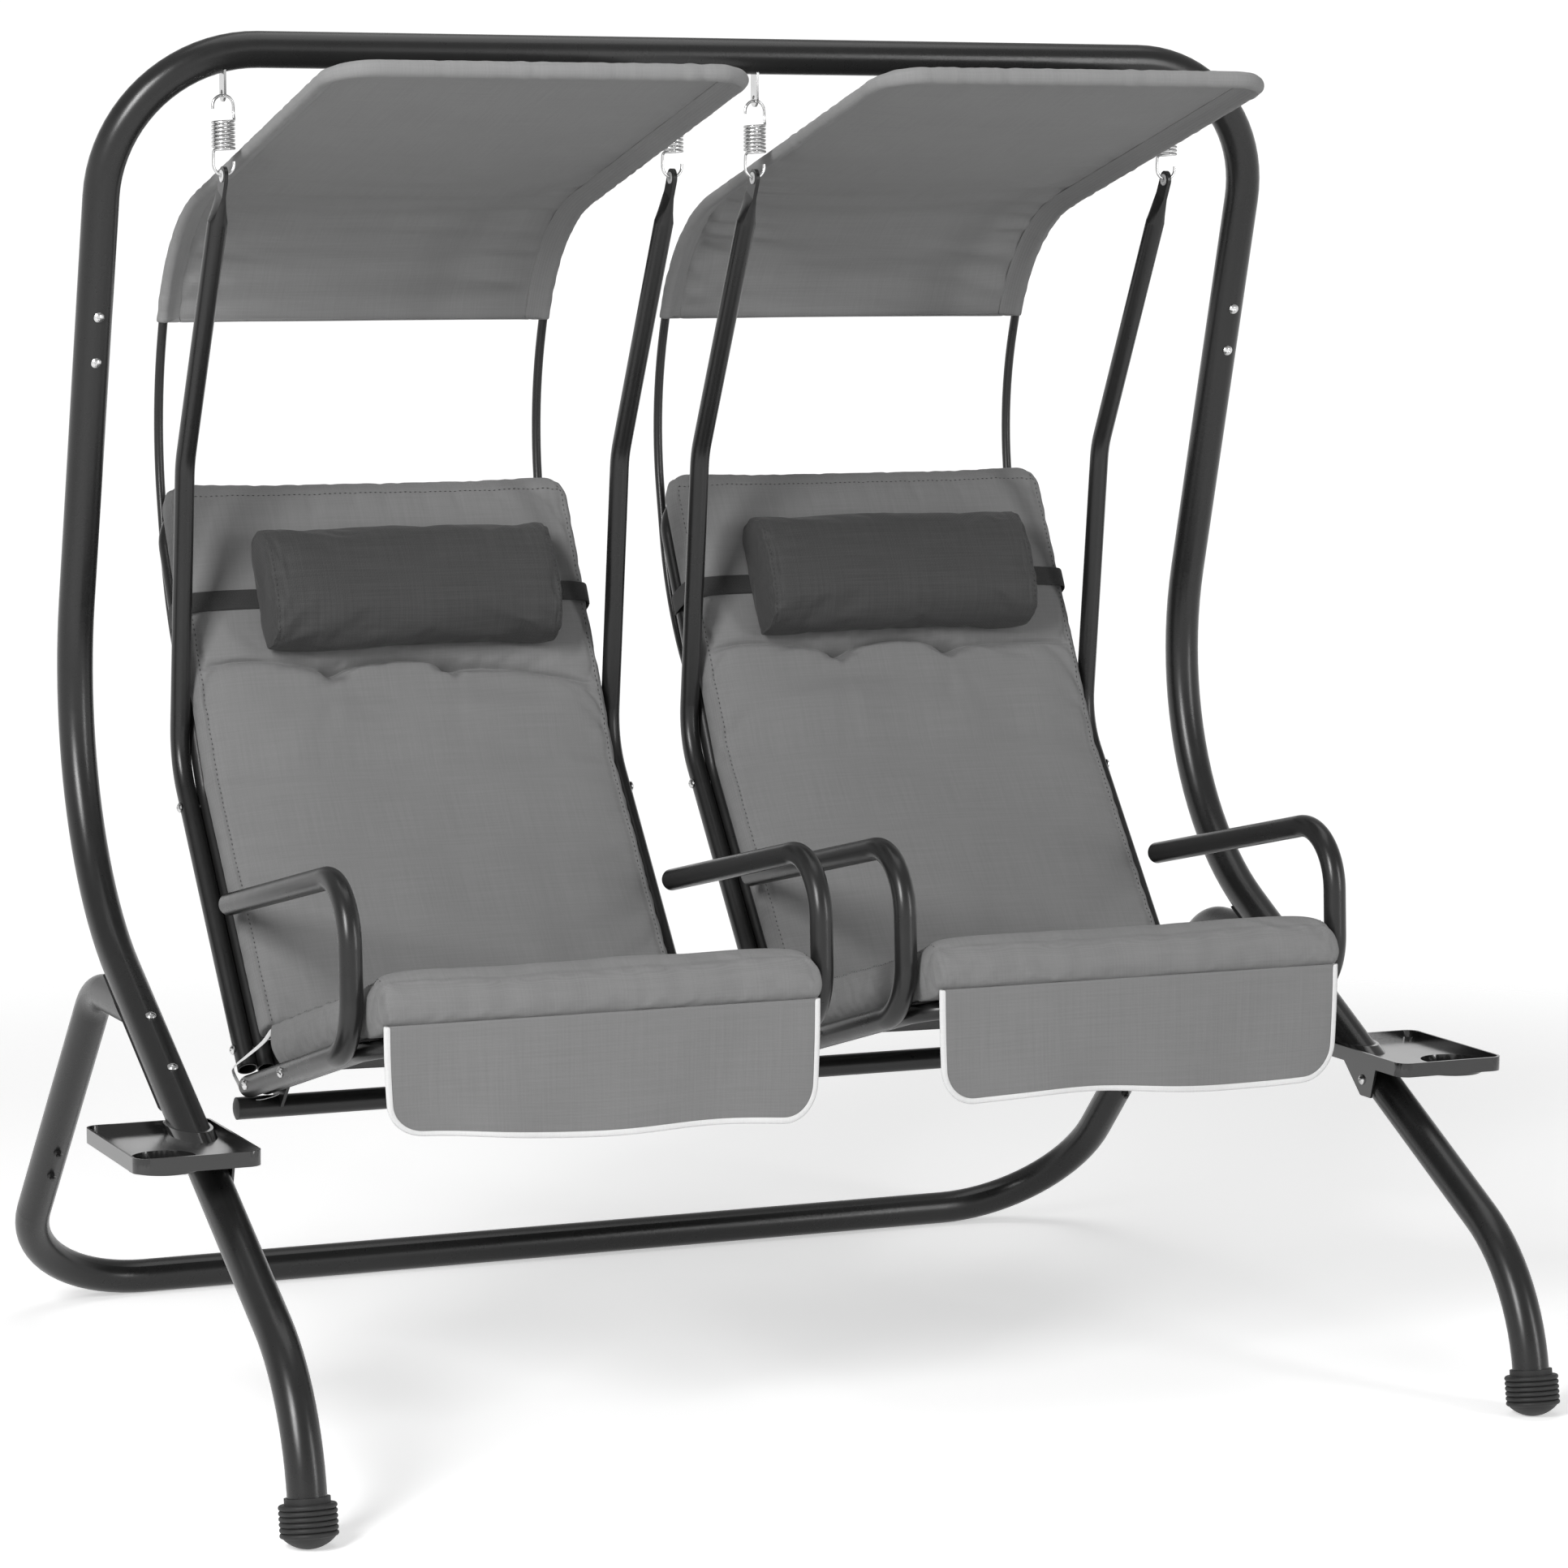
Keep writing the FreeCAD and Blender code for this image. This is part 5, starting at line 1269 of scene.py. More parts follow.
@dataclass(frozen=True)
class SeatPad:
    """The seat cushion with its full front roll. Metres.

    Attributes:
        rear: Rear end of its base line in the side view.
        front: Front end of its base line.
        half: Half its width at the seams.
        bulge: How far the side strips swell.
        edge: Height of the side strips.
        crown: Rise of the top panel.
        roll: How far the front roll stands above the top panel.
        roll_place: How far behind the front end the roll is highest, and its reach.
        roll_fall: Share of its height that the roll loses at its ends.
        low_round: Radius under the front roll.
        high_round: Radius on top of the front roll.
        lean: Slope of the rear end, which leans back with the back cushion.
        press: How far the rear end swells against the back cushion.
        waves: Height of the broad and the smaller waves of the top panel.
        pucker: Height of the puckers along the side seams.
        nose: Height of the creases on the roll's face, and its swell.
        cap: How far the filling moves a point.
        cells: Cells along and deep.
        facing: The way that the top panel faces.
    """

    rear: tuple = (-0.0490, 0.4258)
    front: tuple = (-0.4500, 0.5331)
    half: float = 0.270
    bulge: float = 0.007
    edge: float = 0.057
    crown: float = 0.010
    roll: float = 0.011
    roll_place: tuple = (0.02, 0.045)
    roll_fall: float = 0.6
    low_round: float = 0.022
    high_round: float = 0.032
    lean: float = 0.44
    press: float = 0.009
    waves: tuple = (0.0030, 0.0012)
    pucker: float = 0.0016
    nose: tuple = (0.0026, 0.004)
    cap: float = 0.006
    cells: tuple = (66, 12)
    facing: tuple = (0, 0.2588, 0.9659)

    def build(self, place: SeatPlace) -> bpy.types.Object:
        """Make the cushion, fill it and sew it.

        Args:
            place: The seat's place.

        Returns:
            The cushion.
        """
        path = SidePath([self.rear, self.front], [])
        rows = dense_steps(self.cells[0], path.length, (path.length,), width=0.05, weight=1.5)
        shell = Shell(PAD_COLUMNS, *self.cells)
        unit, cells = shell.unit, shell.lattice
        x, s, deep = pad_columns(self.half)[cells[:, 0]].copy(), rows[cells[:, 1]].copy(), unit[:, 2]
        n = deep * self.edge
        round_corner(s, n, (path.length, self.edge), (1, 1), self.high_round)
        round_corner(s, n, (path.length, 0.0), (1, -1), self.low_round)
        rim_x = np.abs(unit[:, 0] * 2 - 1) == 1
        rim_s = (unit[:, 1] == 0) | (unit[:, 1] == 1)
        bulge = 4 * deep * (1 - deep) * self.bulge
        across = np.clip(1 - np.abs(x / self.half) ** 3, 0, 1)
        along = np.clip(1 - np.abs(unit[:, 1] * 2 - 1) ** 4, 0, 1)
        behind, reach = self.roll_place
        ahead = np.exp(-((path.length - s - behind) / reach) ** 2)
        inner = self.half - np.abs(x)
        wave = place.ripples(x, s, scale=6.0, seed=21.0) * self.waves[0]
        wave += place.ripples(x, s, scale=16.0, seed=23.0) * self.waves[1]
        pucker_reach, pucker_stretch, nose_stretch = 0.02, 0.15, 0.3
        pucker = place.ripples(x * pucker_stretch, s + n, scale=60.0, seed=25.0) * self.pucker
        pucker *= np.exp(-inner / pucker_reach)
        nose = place.ripples(x, n * nose_stretch, scale=28.0, seed=27.0) * self.nose[0]
        upper = n / self.edge
        level = 1 - self.roll_fall * np.abs(x / self.half) ** 30
        crown = self.crown * across * along * (1 - ahead) + self.roll * ahead * level
        n += upper * (crown + wave * across + pucker)
        s = s + (nose + self.nose[1] * np.sin(math.pi * deep)) * (unit[:, 1] == 1) * across
        s = s - (self.lean * n + self.press * np.clip(2 * upper, 0, 1)) * (1 - unit[:, 1]) ** 4
        x = np.where(rim_x, x + np.sign(x) * bulge, x)
        y, z = path.at(s, -n)
        weave = np.stack([x + np.where(rim_x, np.sign(x) * n, 0), s + np.where(rim_s, n, 0)], axis=1)
        mesh = Mesh(np.stack([x, y, z], axis=1), [face[::-1] for face in shell.faces], weave)
        obj = place.put(mesh, "seat_pad", "cushion_cloth", node="seat_cushion")
        edges = shell.runs({0: 0, 2: -1}, {0: -1, 2: -1}, {0: 0, 1: -1}, {0: -1, 1: -1})
        rear_share, off_roll, lower_half = 0.05, 0.2, 0.5
        held = np.flatnonzero((deep == 0) | (unit[:, 1] < rear_share))
        sewn = np.unique(np.concatenate([held] + edges))
        pins = sewn[(ahead[sewn] < off_roll) | (deep[sewn] < lower_half)]
        inflate(obj, pins, pressure=3.5, slack=0.015, cap=self.cap)
        place.seams(obj, shell.runs({0: 2, 2: -1}, {0: -3, 2: -1}), "seat_stitches", self.facing)
        subdivide(obj)
        return obj


@dataclass(frozen=True)
class Bolster:
    """The head bolster: a stuffed tube, flat behind and round in front, with gathered end panels. Metres.

    Attributes:
        shift: How far it lies off the seat's middle.
        inset: How far its end seams lie inside the CAD solid's ends.
        tall: Half its height along the back.
        front: Depth before its middle.
        rear: Depth behind its middle.
        drop: How far its middle lies behind the CAD solid's.
        round_front: Roundness of the front half, 2 for an ellipse.
        round_rear: Roundness of the rear half.
        gather: Height of the gathers at the end seams.
        broad: Height of the broad waves.
        ends: Size and rise of each ring of the end panels.
        draw: How far the end seams draw the cloth in.
        mean: Mean radius that the waves are shares of.
        lain: Depth behind the middle from which the cloth lies on the back.
        cap: How far the filling moves a point.
    """

    shift: float = 0.0
    inset: float = 0.003
    tall: float = 0.081
    front: float = 0.048
    rear: float = 0.030
    drop: float = 0.009
    round_front: float = 2.5
    round_rear: float = 5.0
    gather: float = 0.0052
    broad: float = 0.0030
    ends: tuple = ((0.975, -0.0012), (0.9, 0.0012), (0.7, 0.0030), (0.4, 0.0040), (0.12, 0.0042))
    draw: float = 0.0030
    mean: float = 0.04
    lain: float = 0.036
    cap: float = 0.006

    def build(self, place: SeatPlace) -> bpy.types.Object:
        """Make the bolster, fill it and sew it.

        Args:
            place: The seat's place.

        Returns:
            The bolster.
        """
        low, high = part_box(place.named("headrest"))
        half = (high.x - low.x) / 2 - self.inset
        middle = np.array([self.shift, (low.y + high.y) / 2, (low.z + high.z) / 2])
        around, along = 84, 70
        turn = np.linspace(0, 2 * math.pi, around, endpoint=False)
        ahead = np.sin(turn) > 0
        power = np.where(ahead, 2.0 / self.round_front, 2.0 / self.round_rear)
        deep = np.where(ahead, self.front, self.rear)
        ring_u = np.sign(np.cos(turn)) * np.abs(np.cos(turn)) ** power * self.tall
        ring_v = np.sign(np.sin(turn)) * np.abs(np.sin(turn)) ** power * deep - self.drop
        length = reach_along(np.stack([ring_u, ring_v], axis=1))
        stations = dense_steps(along, 2 * half, (0.0, 2 * half), width=0.02, weight=2.0) - half
        x = np.repeat(stations, around)
        u, v, girth = (np.tile(values, along + 1) for values in (ring_u, ring_v, length))
        gather_reach, gather_stretch, broad_reach, draw_reach = 0.020, 0.12, 0.05, 0.012
        tall_share = 0.5
        inner = half - np.abs(x)
        gather = place.ripples(x * gather_stretch, girth, scale=70.0, seed=31.0) * self.gather
        gather *= np.exp(-inner / gather_reach)
        broad = place.ripples(x, girth, scale=8.0, seed=33.0) * self.broad
        broad *= np.clip(inner / broad_reach, 0, 1)
        swell = 1 + (gather + broad - self.draw * np.exp(-inner / draw_reach)) / self.mean
        rows = [np.stack([x, u * (1 + (swell - 1) * tall_share), v * swell], axis=1)]
        faces = grid_faces(along + 1, around, wrap=True)
        weave = [np.stack([girth, x], axis=1)]
        first = (along + 1) * around
        for sign, rim in ((-1, 0), (1, along * around)):
            previous = np.arange(rim, rim + around)
            outline = rows[0][previous]
            for shrink, out in self.ends:
                shift = np.array([sign * out, 0.0, -self.drop * (1 - shrink)])
                ring = outline * np.array([1.0, shrink, shrink]) + shift
                rows.append(ring)
                weave.append(ring[:, 1:])
                index = np.arange(first, first + around)
                for k in range(around):
                    quad = (previous[k], previous[k - around + 1], index[k - around + 1], index[k])
                    faces.append(tuple(int(i) for i in (quad if sign > 0 else quad[::-1])))
                previous = index
                first += around
            faces.append(tuple(int(i) for i in (previous if sign > 0 else previous[::-1])))
        flat = np.concatenate(rows)
        points = middle + np.outer(flat[:, 0], (1, 0, 0))
        points = points + np.outer(flat[:, 1], BACK_WAY) + np.outer(flat[:, 2], BACK_FRONT)
        mesh = Mesh(points, faces, np.concatenate(weave))
        obj = place.put(mesh, "bolster", "headrest_cloth", "headrest", "headrest")
        rims = [np.arange(rim, rim + around) for rim in (0, along * around)]
        rear = np.flatnonzero(flat[:, 2] < -self.lain)
        pins = np.unique(np.concatenate(rims + [rear]))
        inflate(obj, pins, pressure=4.0, slack=0.012, cap=self.cap)
        seams = [np.arange(row * around, row * around + around // 2 + 2) for row in (2, along - 2)]
        place.seams(obj, seams, "bolster_stitches", tuple(BACK_FRONT))
        subdivide(obj)
        return obj


@dataclass(frozen=True)
class Strap:
    """The webbing loop of the bolster, pulled round the back cushion and its sling. Metres.

    Attributes:
        width: Width of the webbing.
        thick: Its thickness.
        gap: How far its middle lies off the cushion.
        reach: How far it follows the cushion to each side.
        slide: How far along the back it clears the cushion, each way.
        rail: How far out it passes the back rails.
        front: How far before the bolster's place line it turns down to the rails.
        rear: How far behind that line it crosses the sling.
        sling: How far out it meets the sling.
        steps: Points on the cushion.
        window: How far to each side of a point the cushion is felt for.
    """

    width: float = 0.028
    thick: float = 0.0018
    gap: float = 0.0014
    reach: float = 0.268
    slide: float = 0.060
    rail: float = 0.283
    front: float = 0.026
    rear: float = 0.0134
    sling: float = 0.262
    steps: int = 41
    window: float = 0.009

    def build(self, place: SeatPlace) -> bpy.types.Object:
        """Lay the loop on the cushion and close it behind the sling.

        Args:
            place: The seat's place.

        Returns:
            The strap.
        """
        origin = np.array([place.x, *BOLSTER_PLACE[1:]])
        spots = place.from_bolster(bpy.data.objects[place.named("back_pad")])
        near = np.abs(spots @ BACK_WAY) < self.slide
        spots = np.stack([spots[near, 0], spots[near] @ BACK_FRONT], axis=1)
        loop = []
        for x in np.linspace(-self.reach, self.reach, self.steps):
            close = np.abs(spots[:, 0] - x) < self.window
            loop.append((float(x), float(spots[close, 1].max()) + self.gap))
        edge = loop[-1][1]
        rear = [(self.rail - 0.0070, edge - 0.003), (self.rail - 0.0018, edge - 0.012),
                (self.rail, self.front), (self.rail, -0.004), (self.rail - 0.0040, 0.001 - self.rear),
                (self.sling, -self.rear), (0.0, -self.rear)]
        loop += rear + [(-x, n) for x, n in rear[-2::-1]]
        across = np.linspace(-0.5, 0.5, 5) * self.width
        reach = reach_along(np.array(loop))
        points = [(x, *(origin + BACK_FRONT * n + BACK_WAY * out)[1:]) for x, n in loop for out in across]
        weave = [(length, out) for length in reach for out in across]
        last = (len(loop) - 1) * len(across)
        closing = [(last + k, last + k + 1, k + 1, k) for k in range(len(across) - 1)]
        mesh = Mesh(np.array(points), grid_faces(len(loop), len(across)) + closing, np.array(weave))
        obj = place.put(mesh, "bolster_strap", "strap_webbing", "headrest", "headrest_strap")
        solidify(obj, self.thick, 1.0)
        subdivide(obj)
        return obj


@dataclass(frozen=True)
class Flap:
    """The hanging flap and the white tape on its free edges. Metres.

    Attributes:
        droop: How much lower its right end hangs than its middle.
        sway: Rise and fall of its lower edge.
        corner: Radius of the lower corners.
        thick: Thickness of the cloth.
        narrow: Share by which the lower edge hangs narrower.
        wave: Depth of the even waves.
        ripple: Depth of the uneven ones.
        tape: Half section of the folded tape: distance inside the edge, and off the cloth's middle.
        tape_thick: Thickness of the tape.
    """

    droop: float = 0.004
    sway: float = 0.0045
    corner: float = 0.044
    thick: float = 0.003
    narrow: float = 0.022
    wave: float = 0.0030
    ripple: float = 0.0030
    tape: tuple = ((0.0075, -0.0019), (0.004, -0.0024), (0.001, -0.0022))
    tape_thick: float = 0.0006

    def build(self, place: SeatPlace) -> bpy.types.Object:
        """Hang the cloth and sew the tape on.

        Args:
            place: The seat's place.

        Returns:
            The cloth.
        """
        low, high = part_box(place.named("flap_binding"))
        half = (high.x - low.x) / 2
        drop = high.z - low.z
        plane = (low.y + high.y) / 2
        rows, columns = 30, 110
        x, s = flat_grid(rows, columns, half, drop)
        for turn in (-1, 1):
            round_corner(x, s, (turn * half, drop), (turn, 1), self.corner)

        def hang(x: np.ndarray, s: np.ndarray) -> np.ndarray:
            """Where points of the flat cloth hang: it narrows, waves and droops to its right."""
            share = np.clip(s / drop, 0, 1.2)
            wave = self.wave * np.sin(x / half * 3 * math.pi) * share ** 1.3
            stand = wave + place.ripples(x, s * 0.5, scale=9.0, seed=41.0) * self.ripple * share ** 0.7
            low_edge = self.sway * np.sin(x / half * 4.2 + 2 * place.seed) + self.droop * x / half
            z = high.z - s - low_edge * share ** 2
            return np.stack([x * (1 - self.narrow * share ** 2), plane - stand, z], axis=1)

        mesh = Mesh(hang(x, s), grid_faces(rows, columns), np.stack([x, s], axis=1))
        obj = place.put(mesh, "flap_cloth", "cushion_cloth", "flap", "flap")
        solidify(obj, self.thick)
        subdivide(obj)
        line = rounded_rim(half, drop, self.corner, counts=(16, 12, 60), trims=(0.1, 0.0))
        profile = list(self.tape) + [(-0.0003, 0.0)] + [(inner, -out) for inner, out in self.tape[::-1]]
        ways = inward_ways(line)
        flat = np.array([spot + way * inner for spot, way in zip(line, ways) for inner, _ in profile])
        points = hang(flat[:, 0], flat[:, 1])
        points[:, 1] -= np.tile([out for _, out in profile], len(line))
        weave = [(length, k * 0.003) for length in reach_along(line) for k in range(len(profile))]
        tape = Mesh(points, grid_faces(len(line), len(profile)), np.array(weave))
        binding = place.put(tape, "flap_tape", "binding_tape", "flap", "flap_binding")
        solidify(binding, self.tape_thick)
        subdivide(binding)
        return obj


@dataclass(frozen=True)
class Canopy:
    """The canopy: cloth stretched between sleeves round the thin tube. Metres.

    Attributes:
        line: The tube's side view, from the rear hem to the front lip.
        bend: The tube's bend.
        half: Half the tubes' spread.
        wrap: The sleeve's radius.
        inset: How far inside the tube the sleeve is sewn shut.
        lip: How far the sleeve's middle lies behind the front lip.
        corner: Radius of the front corners of the tube.
        cloth_corner: Radius of the front corners of the cloth.
        sag: How far the cloth hangs through.
        pucker: Height of the puckers along the sleeves.
        hem: Height of the puckers along the front.
        ridge: Height of the ridges across the rear bend.
        thick: Thickness of the cloth.
        sleeve_thick: Thickness of the sleeve.
    """

    line: tuple = ((0.4672, 1.325), (0.425, 1.448), (-0.2737, 1.6323))
    bend: float = 0.25
    half: float = 0.262
    wrap: float = 0.0078
    inset: float = 0.02
    lip: float = 0.009
    corner: float = 0.05
    cloth_corner: float = 0.034
    sag: float = 0.007
    pucker: float = 0.0095
    hem: float = 0.0030
    ridge: float = 0.0060
    thick: float = 0.0018
    sleeve_thick: float = 0.0012

    def build(self, place: SeatPlace) -> bpy.types.Object:
        """Stretch the cloth and sew the sleeve.

        Args:
            place: The seat's place.

        Returns:
            The cloth.
        """
        path = SidePath(list(self.line), [self.bend])
        half = self.half - self.inset
        front = path.length - self.lip - self.inset
        rows, columns = 200, 84
        x, s = flat_grid(rows, columns, half, front)
        for turn in (-1, 1):
            round_corner(x, s, (turn * half, front), (turn, 1), self.cloth_corner)
        edge_reach, hem_reach, pinned_reach, rear_reach, front_reach = 0.075, 0.03, 0.012, 0.12, 0.2
        bend_at, bend_reach = 0.14, 0.15
        rear_sag, flat_pucker, flat_ridge = 0.3, 0.2, 0.12
        pucker_stretch, pucker_slant, hem_stretch, ridge_stretch = 0.22, 0.1, 0.25, 0.18
        sunk = 0.0006
        near = half - np.abs(x)
        edge = np.exp(-near / edge_reach)
        bend = np.exp(-((s - bend_at) / bend_reach) ** 2)
        sag = (1 - (x / half) ** 2) * self.sag * np.clip(s / rear_reach, rear_sag, 1)
        sag *= np.clip((front - s) / front_reach, 0, 1)
        pucker = place.ripples(x * pucker_stretch, s + pucker_slant * x, scale=46.0, seed=51.0) * self.pucker
        pucker *= edge * (flat_pucker + bend)
        hem = place.ripples(x, s * hem_stretch, scale=45.0, seed=55.0) * self.hem
        hem *= np.exp(-(front - s) / hem_reach)
        ridge = place.ripples(x * ridge_stretch, s, scale=24.0, seed=53.0) * self.ridge * (flat_ridge + bend)
        pinned = np.clip(near / pinned_reach, 0, 1) * np.clip((front - s) / pinned_reach, 0, 1)
        n = -(self.wrap - sunk) + (sag + pucker + hem + ridge) * pinned
        y, z = path.at(s, n)
        mesh = Mesh(np.stack([x, y, z], axis=1), grid_faces(rows, columns), np.stack([x, s], axis=1))
        obj = place.put(mesh, "canopy_cloth", "canopy_cloth", node="canopy")
        solidify(obj, self.thick)
        subdivide(obj)
        sleeve = self.sleeve(place, path)
        return obj

    def sleeve(self, place: SeatPlace, path: SidePath) -> bpy.types.Object:
        """The sleeve that holds the cloth to its tube, along both sides and the front.

        Args:
            place: The seat's place.
            path: The tube's side view.

        Returns:
            The sleeve.
        """
        wrap, inset = self.wrap, self.inset
        line = rounded_rim(self.half, path.length - self.lip, self.corner, counts=(140, 12, 90),
                           trims=(0.12, 0.12))
        profile = [(inset + 0.004, wrap - 0.0016), (inset * 0.8, wrap - 0.003)]
        profile += [(wrap * math.cos(t), wrap * math.sin(t)) for t in np.linspace(-1.15, -math.pi * 1.5, 14)]
        profile += [(inset * 0.5, wrap), (inset + 0.004, wrap + 0.0004)]
        points, weave = [], []
        for spot, way, reach in zip(line, inward_ways(line), reach_along(line)):
            ripple = 0.0014 * noise.noise(Vector((reach * 70, place.seed, 0.0))) + 0.0022 * abs(way[1])
            for k, (inner, up) in enumerate(profile):
                grow = 1 + ripple / wrap if 1 < k < len(profile) - 2 else 1
                px, ps = spot + way * inner * grow
                y, z = path.at(np.array([ps]), np.array([-up * grow]))
                points.append((px, y[0], z[0]))
                weave.append((reach, k * 0.004))
        mesh = Mesh(np.array(points), grid_faces(len(line), len(profile)), np.array(weave))
        obj = place.put(mesh, "canopy_sleeve", "canopy_cloth")
        solidify(obj, self.sleeve_thick)
        subdivide(obj)
        return obj


@dataclass(frozen=True)
class Sling:
    """A stretched cloth under a cushion, sagging between its rails. Metres.

    Attributes:
        node: The CAD node it stands for.
        line: The rails' side view.
        bends: The bends of that line.
        side: 1 or -1, the side of the line that the cloth lies on.
        rise: How far it lies off the line at the rails.
        sag: How far it hangs through.
        thick: Its thickness.
    """

    node: str
    line: tuple
    bends: tuple
    side: int
    rise: float = 0.0121
    sag: float = 0.004
    thick: float = 0.0016

    def build(self, place: SeatPlace) -> bpy.types.Object:
        """Stretch the cloth.

        Args:
            place: The seat's place.

        Returns:
            The sling.
        """
        low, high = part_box(place.named(self.node))
        half = (high.x - low.x) / 2
        path = SidePath(list(self.line), list(self.bends))
        rows, columns = 40, 40
        x, s = flat_grid(rows, columns, half, path.length)
        y, z = path.at(s, self.side * (self.rise - self.sag * (1 - (x / half) ** 2)))
        mesh = Mesh(np.stack([x, y, z], axis=1), grid_faces(rows, columns), np.stack([x, s], axis=1))
        obj = place.put(mesh, self.node + "_cloth", "sling_cloth", node=self.node)
        solidify(obj, self.thick)
        return obj


@dataclass(frozen=True)
class Ties:
    """White tapes from the back cushion's lower corners, tied round the ends of the hangers and arms. Metres.

    Attributes:
        half: Half the tape's width.
        thick: Its thickness.
        axis: Middle of the tubes that the tape goes round, on the right side.
        route: Points of the tape's middle on the right side.
    """

    half: float = 0.0028
    thick: float = 0.0010
    axis: tuple = (0.294, 0.018, 0.405)
    route: tuple = ((0.266, 0.006, 0.466), (0.280, 0.000, 0.452), (0.300, 0.002, 0.436),
                    (0.3105, 0.014, 0.424), (0.310, 0.030, 0.414), (0.302, 0.036, 0.398),
                    (0.295, 0.026, 0.382), (0.285, 0.006, 0.380), (0.276, -0.016, 0.386),
                    (0.272, -0.034, 0.392))

    def build(self, place: SeatPlace) -> bpy.types.Object:
        """Tie both tapes.

        Args:
            place: The seat's place.

        Returns:
            The tapes.
        """
        parts = []
        for turn in (-1, 1):
            mirror = np.array([turn, 1.0, 1.0])
            line = smooth_line(np.array(self.route) * mirror, 8)
            ahead = np.gradient(line, axis=0)
            ahead /= np.linalg.norm(ahead, axis=1, keepdims=True)
            broad = np.cross(ahead, line - np.array(self.axis) * mirror)
            broad /= np.linalg.norm(broad, axis=1, keepdims=True)
            edges = [line + broad * out for out in (-self.half, 0.0, self.half)]
            weave = [(length, out) for length in reach_along(line) for out in (0.0, self.half, 2 * self.half)]
            points = np.stack(edges, axis=1).reshape(-1, 3)
            parts.append(Mesh(points, grid_faces(len(line), 3), np.array(weave)))
        obj = place.put(joined(parts), "tie_tapes", "binding_tape", node="cushion_ties")
        solidify(obj, self.thick)
        subdivide(obj)
        return obj


@dataclass(frozen=True)
class Seat:
    """One hanging seat with its soft and wound pieces.

    Attributes:
        side: "left" or "right".
        sign: -1 or 1.
        back: The back cushion.
        bolster: The head bolster.
        flap: The front flap.
        springs: The springs.
        seat: The seat cushion.
        strap: The bolster's strap.
        canopy: The canopy.
        back_sling: The cloth behind the back cushion.
        seat_sling: The cloth under the seat cushion.
        ties: The cushion's ties.
    """

    side: str
    sign: int
    back: BackPad = BackPad()
    bolster: Bolster = Bolster()
    flap: Flap = Flap()
    springs: Springs = Springs()
    seat: SeatPad = SeatPad()
    strap: Strap = Strap()
    canopy: Canopy = Canopy()
    back_sling: Sling = Sling("back_sling", ((0.0436, 0.4424), (0.2717, 0.725), (0.446, 1.055)), (0.12,), 1)
    seat_sling: Sling = Sling("seat_sling", ((-0.0321, 0.4079), (-0.3886, 0.5035)), (), -1)
    ties: Ties = Ties()

    def build(self, finishes: Finishes) -> list[bpy.types.Object]:
        """Make every piece; the strap comes after the cushion that it lies on.

        Args:
            finishes: The materials.

        Returns:
            The pieces.
        """
        place = SeatPlace(self.side, self.sign, finishes)
        parts = (self.springs, self.back, self.seat, self.bolster, self.strap, self.flap, self.canopy,
                 self.back_sling, self.seat_sling, self.ties)
        return [part.build(place) for part in parts]


SEATS = (
    Seat("left", -1, BackPad(tuft_shift=-0.010, seam=(0.010, 0.012, 0.012, 0.008, -0.036)),
         Bolster(shift=0.014), Flap(droop=0.009)),
    Seat("right", 1),
)


# The studio


LIT_POINT = (0, 0, 0.95)


@dataclass(frozen=True)
class SoftBox:
    """One area light aimed at the seats.

    Attributes:
        name: Its name.
        place: Where it stands.
        power: In watts.
        width: Across.
        height: Upward.
    """

    name: str
    place: tuple[float, float, float]
    power: float
    width: float
    height: float

    def make(self) -> None:
        """Set the light up."""
        data = bpy.data.lights.new(self.name, "AREA")
        data.shape = "RECTANGLE"
        data.energy = self.power
        data.size = self.width
        data.size_y = self.height
        obj = bpy.data.objects.new(self.name, data)
        bpy.context.scene.collection.objects.link(obj)
        obj.location = self.place
        aim = Vector(LIT_POINT) - Vector(self.place)
        obj.rotation_euler = aim.to_track_quat("-Z", "Y").to_euler()


SOFT_BOXES = (
    SoftBox("key", (-3.9, -3.2, 3.3), 234.0, 1.4, 2.2),
    SoftBox("fill", (2.9, -4.4, 1.9), 68.0, 0.8, 2.6),
    SoftBox("top", (0.4, 0.3, 4.6), 41.0, 3.0, 3.0),
)


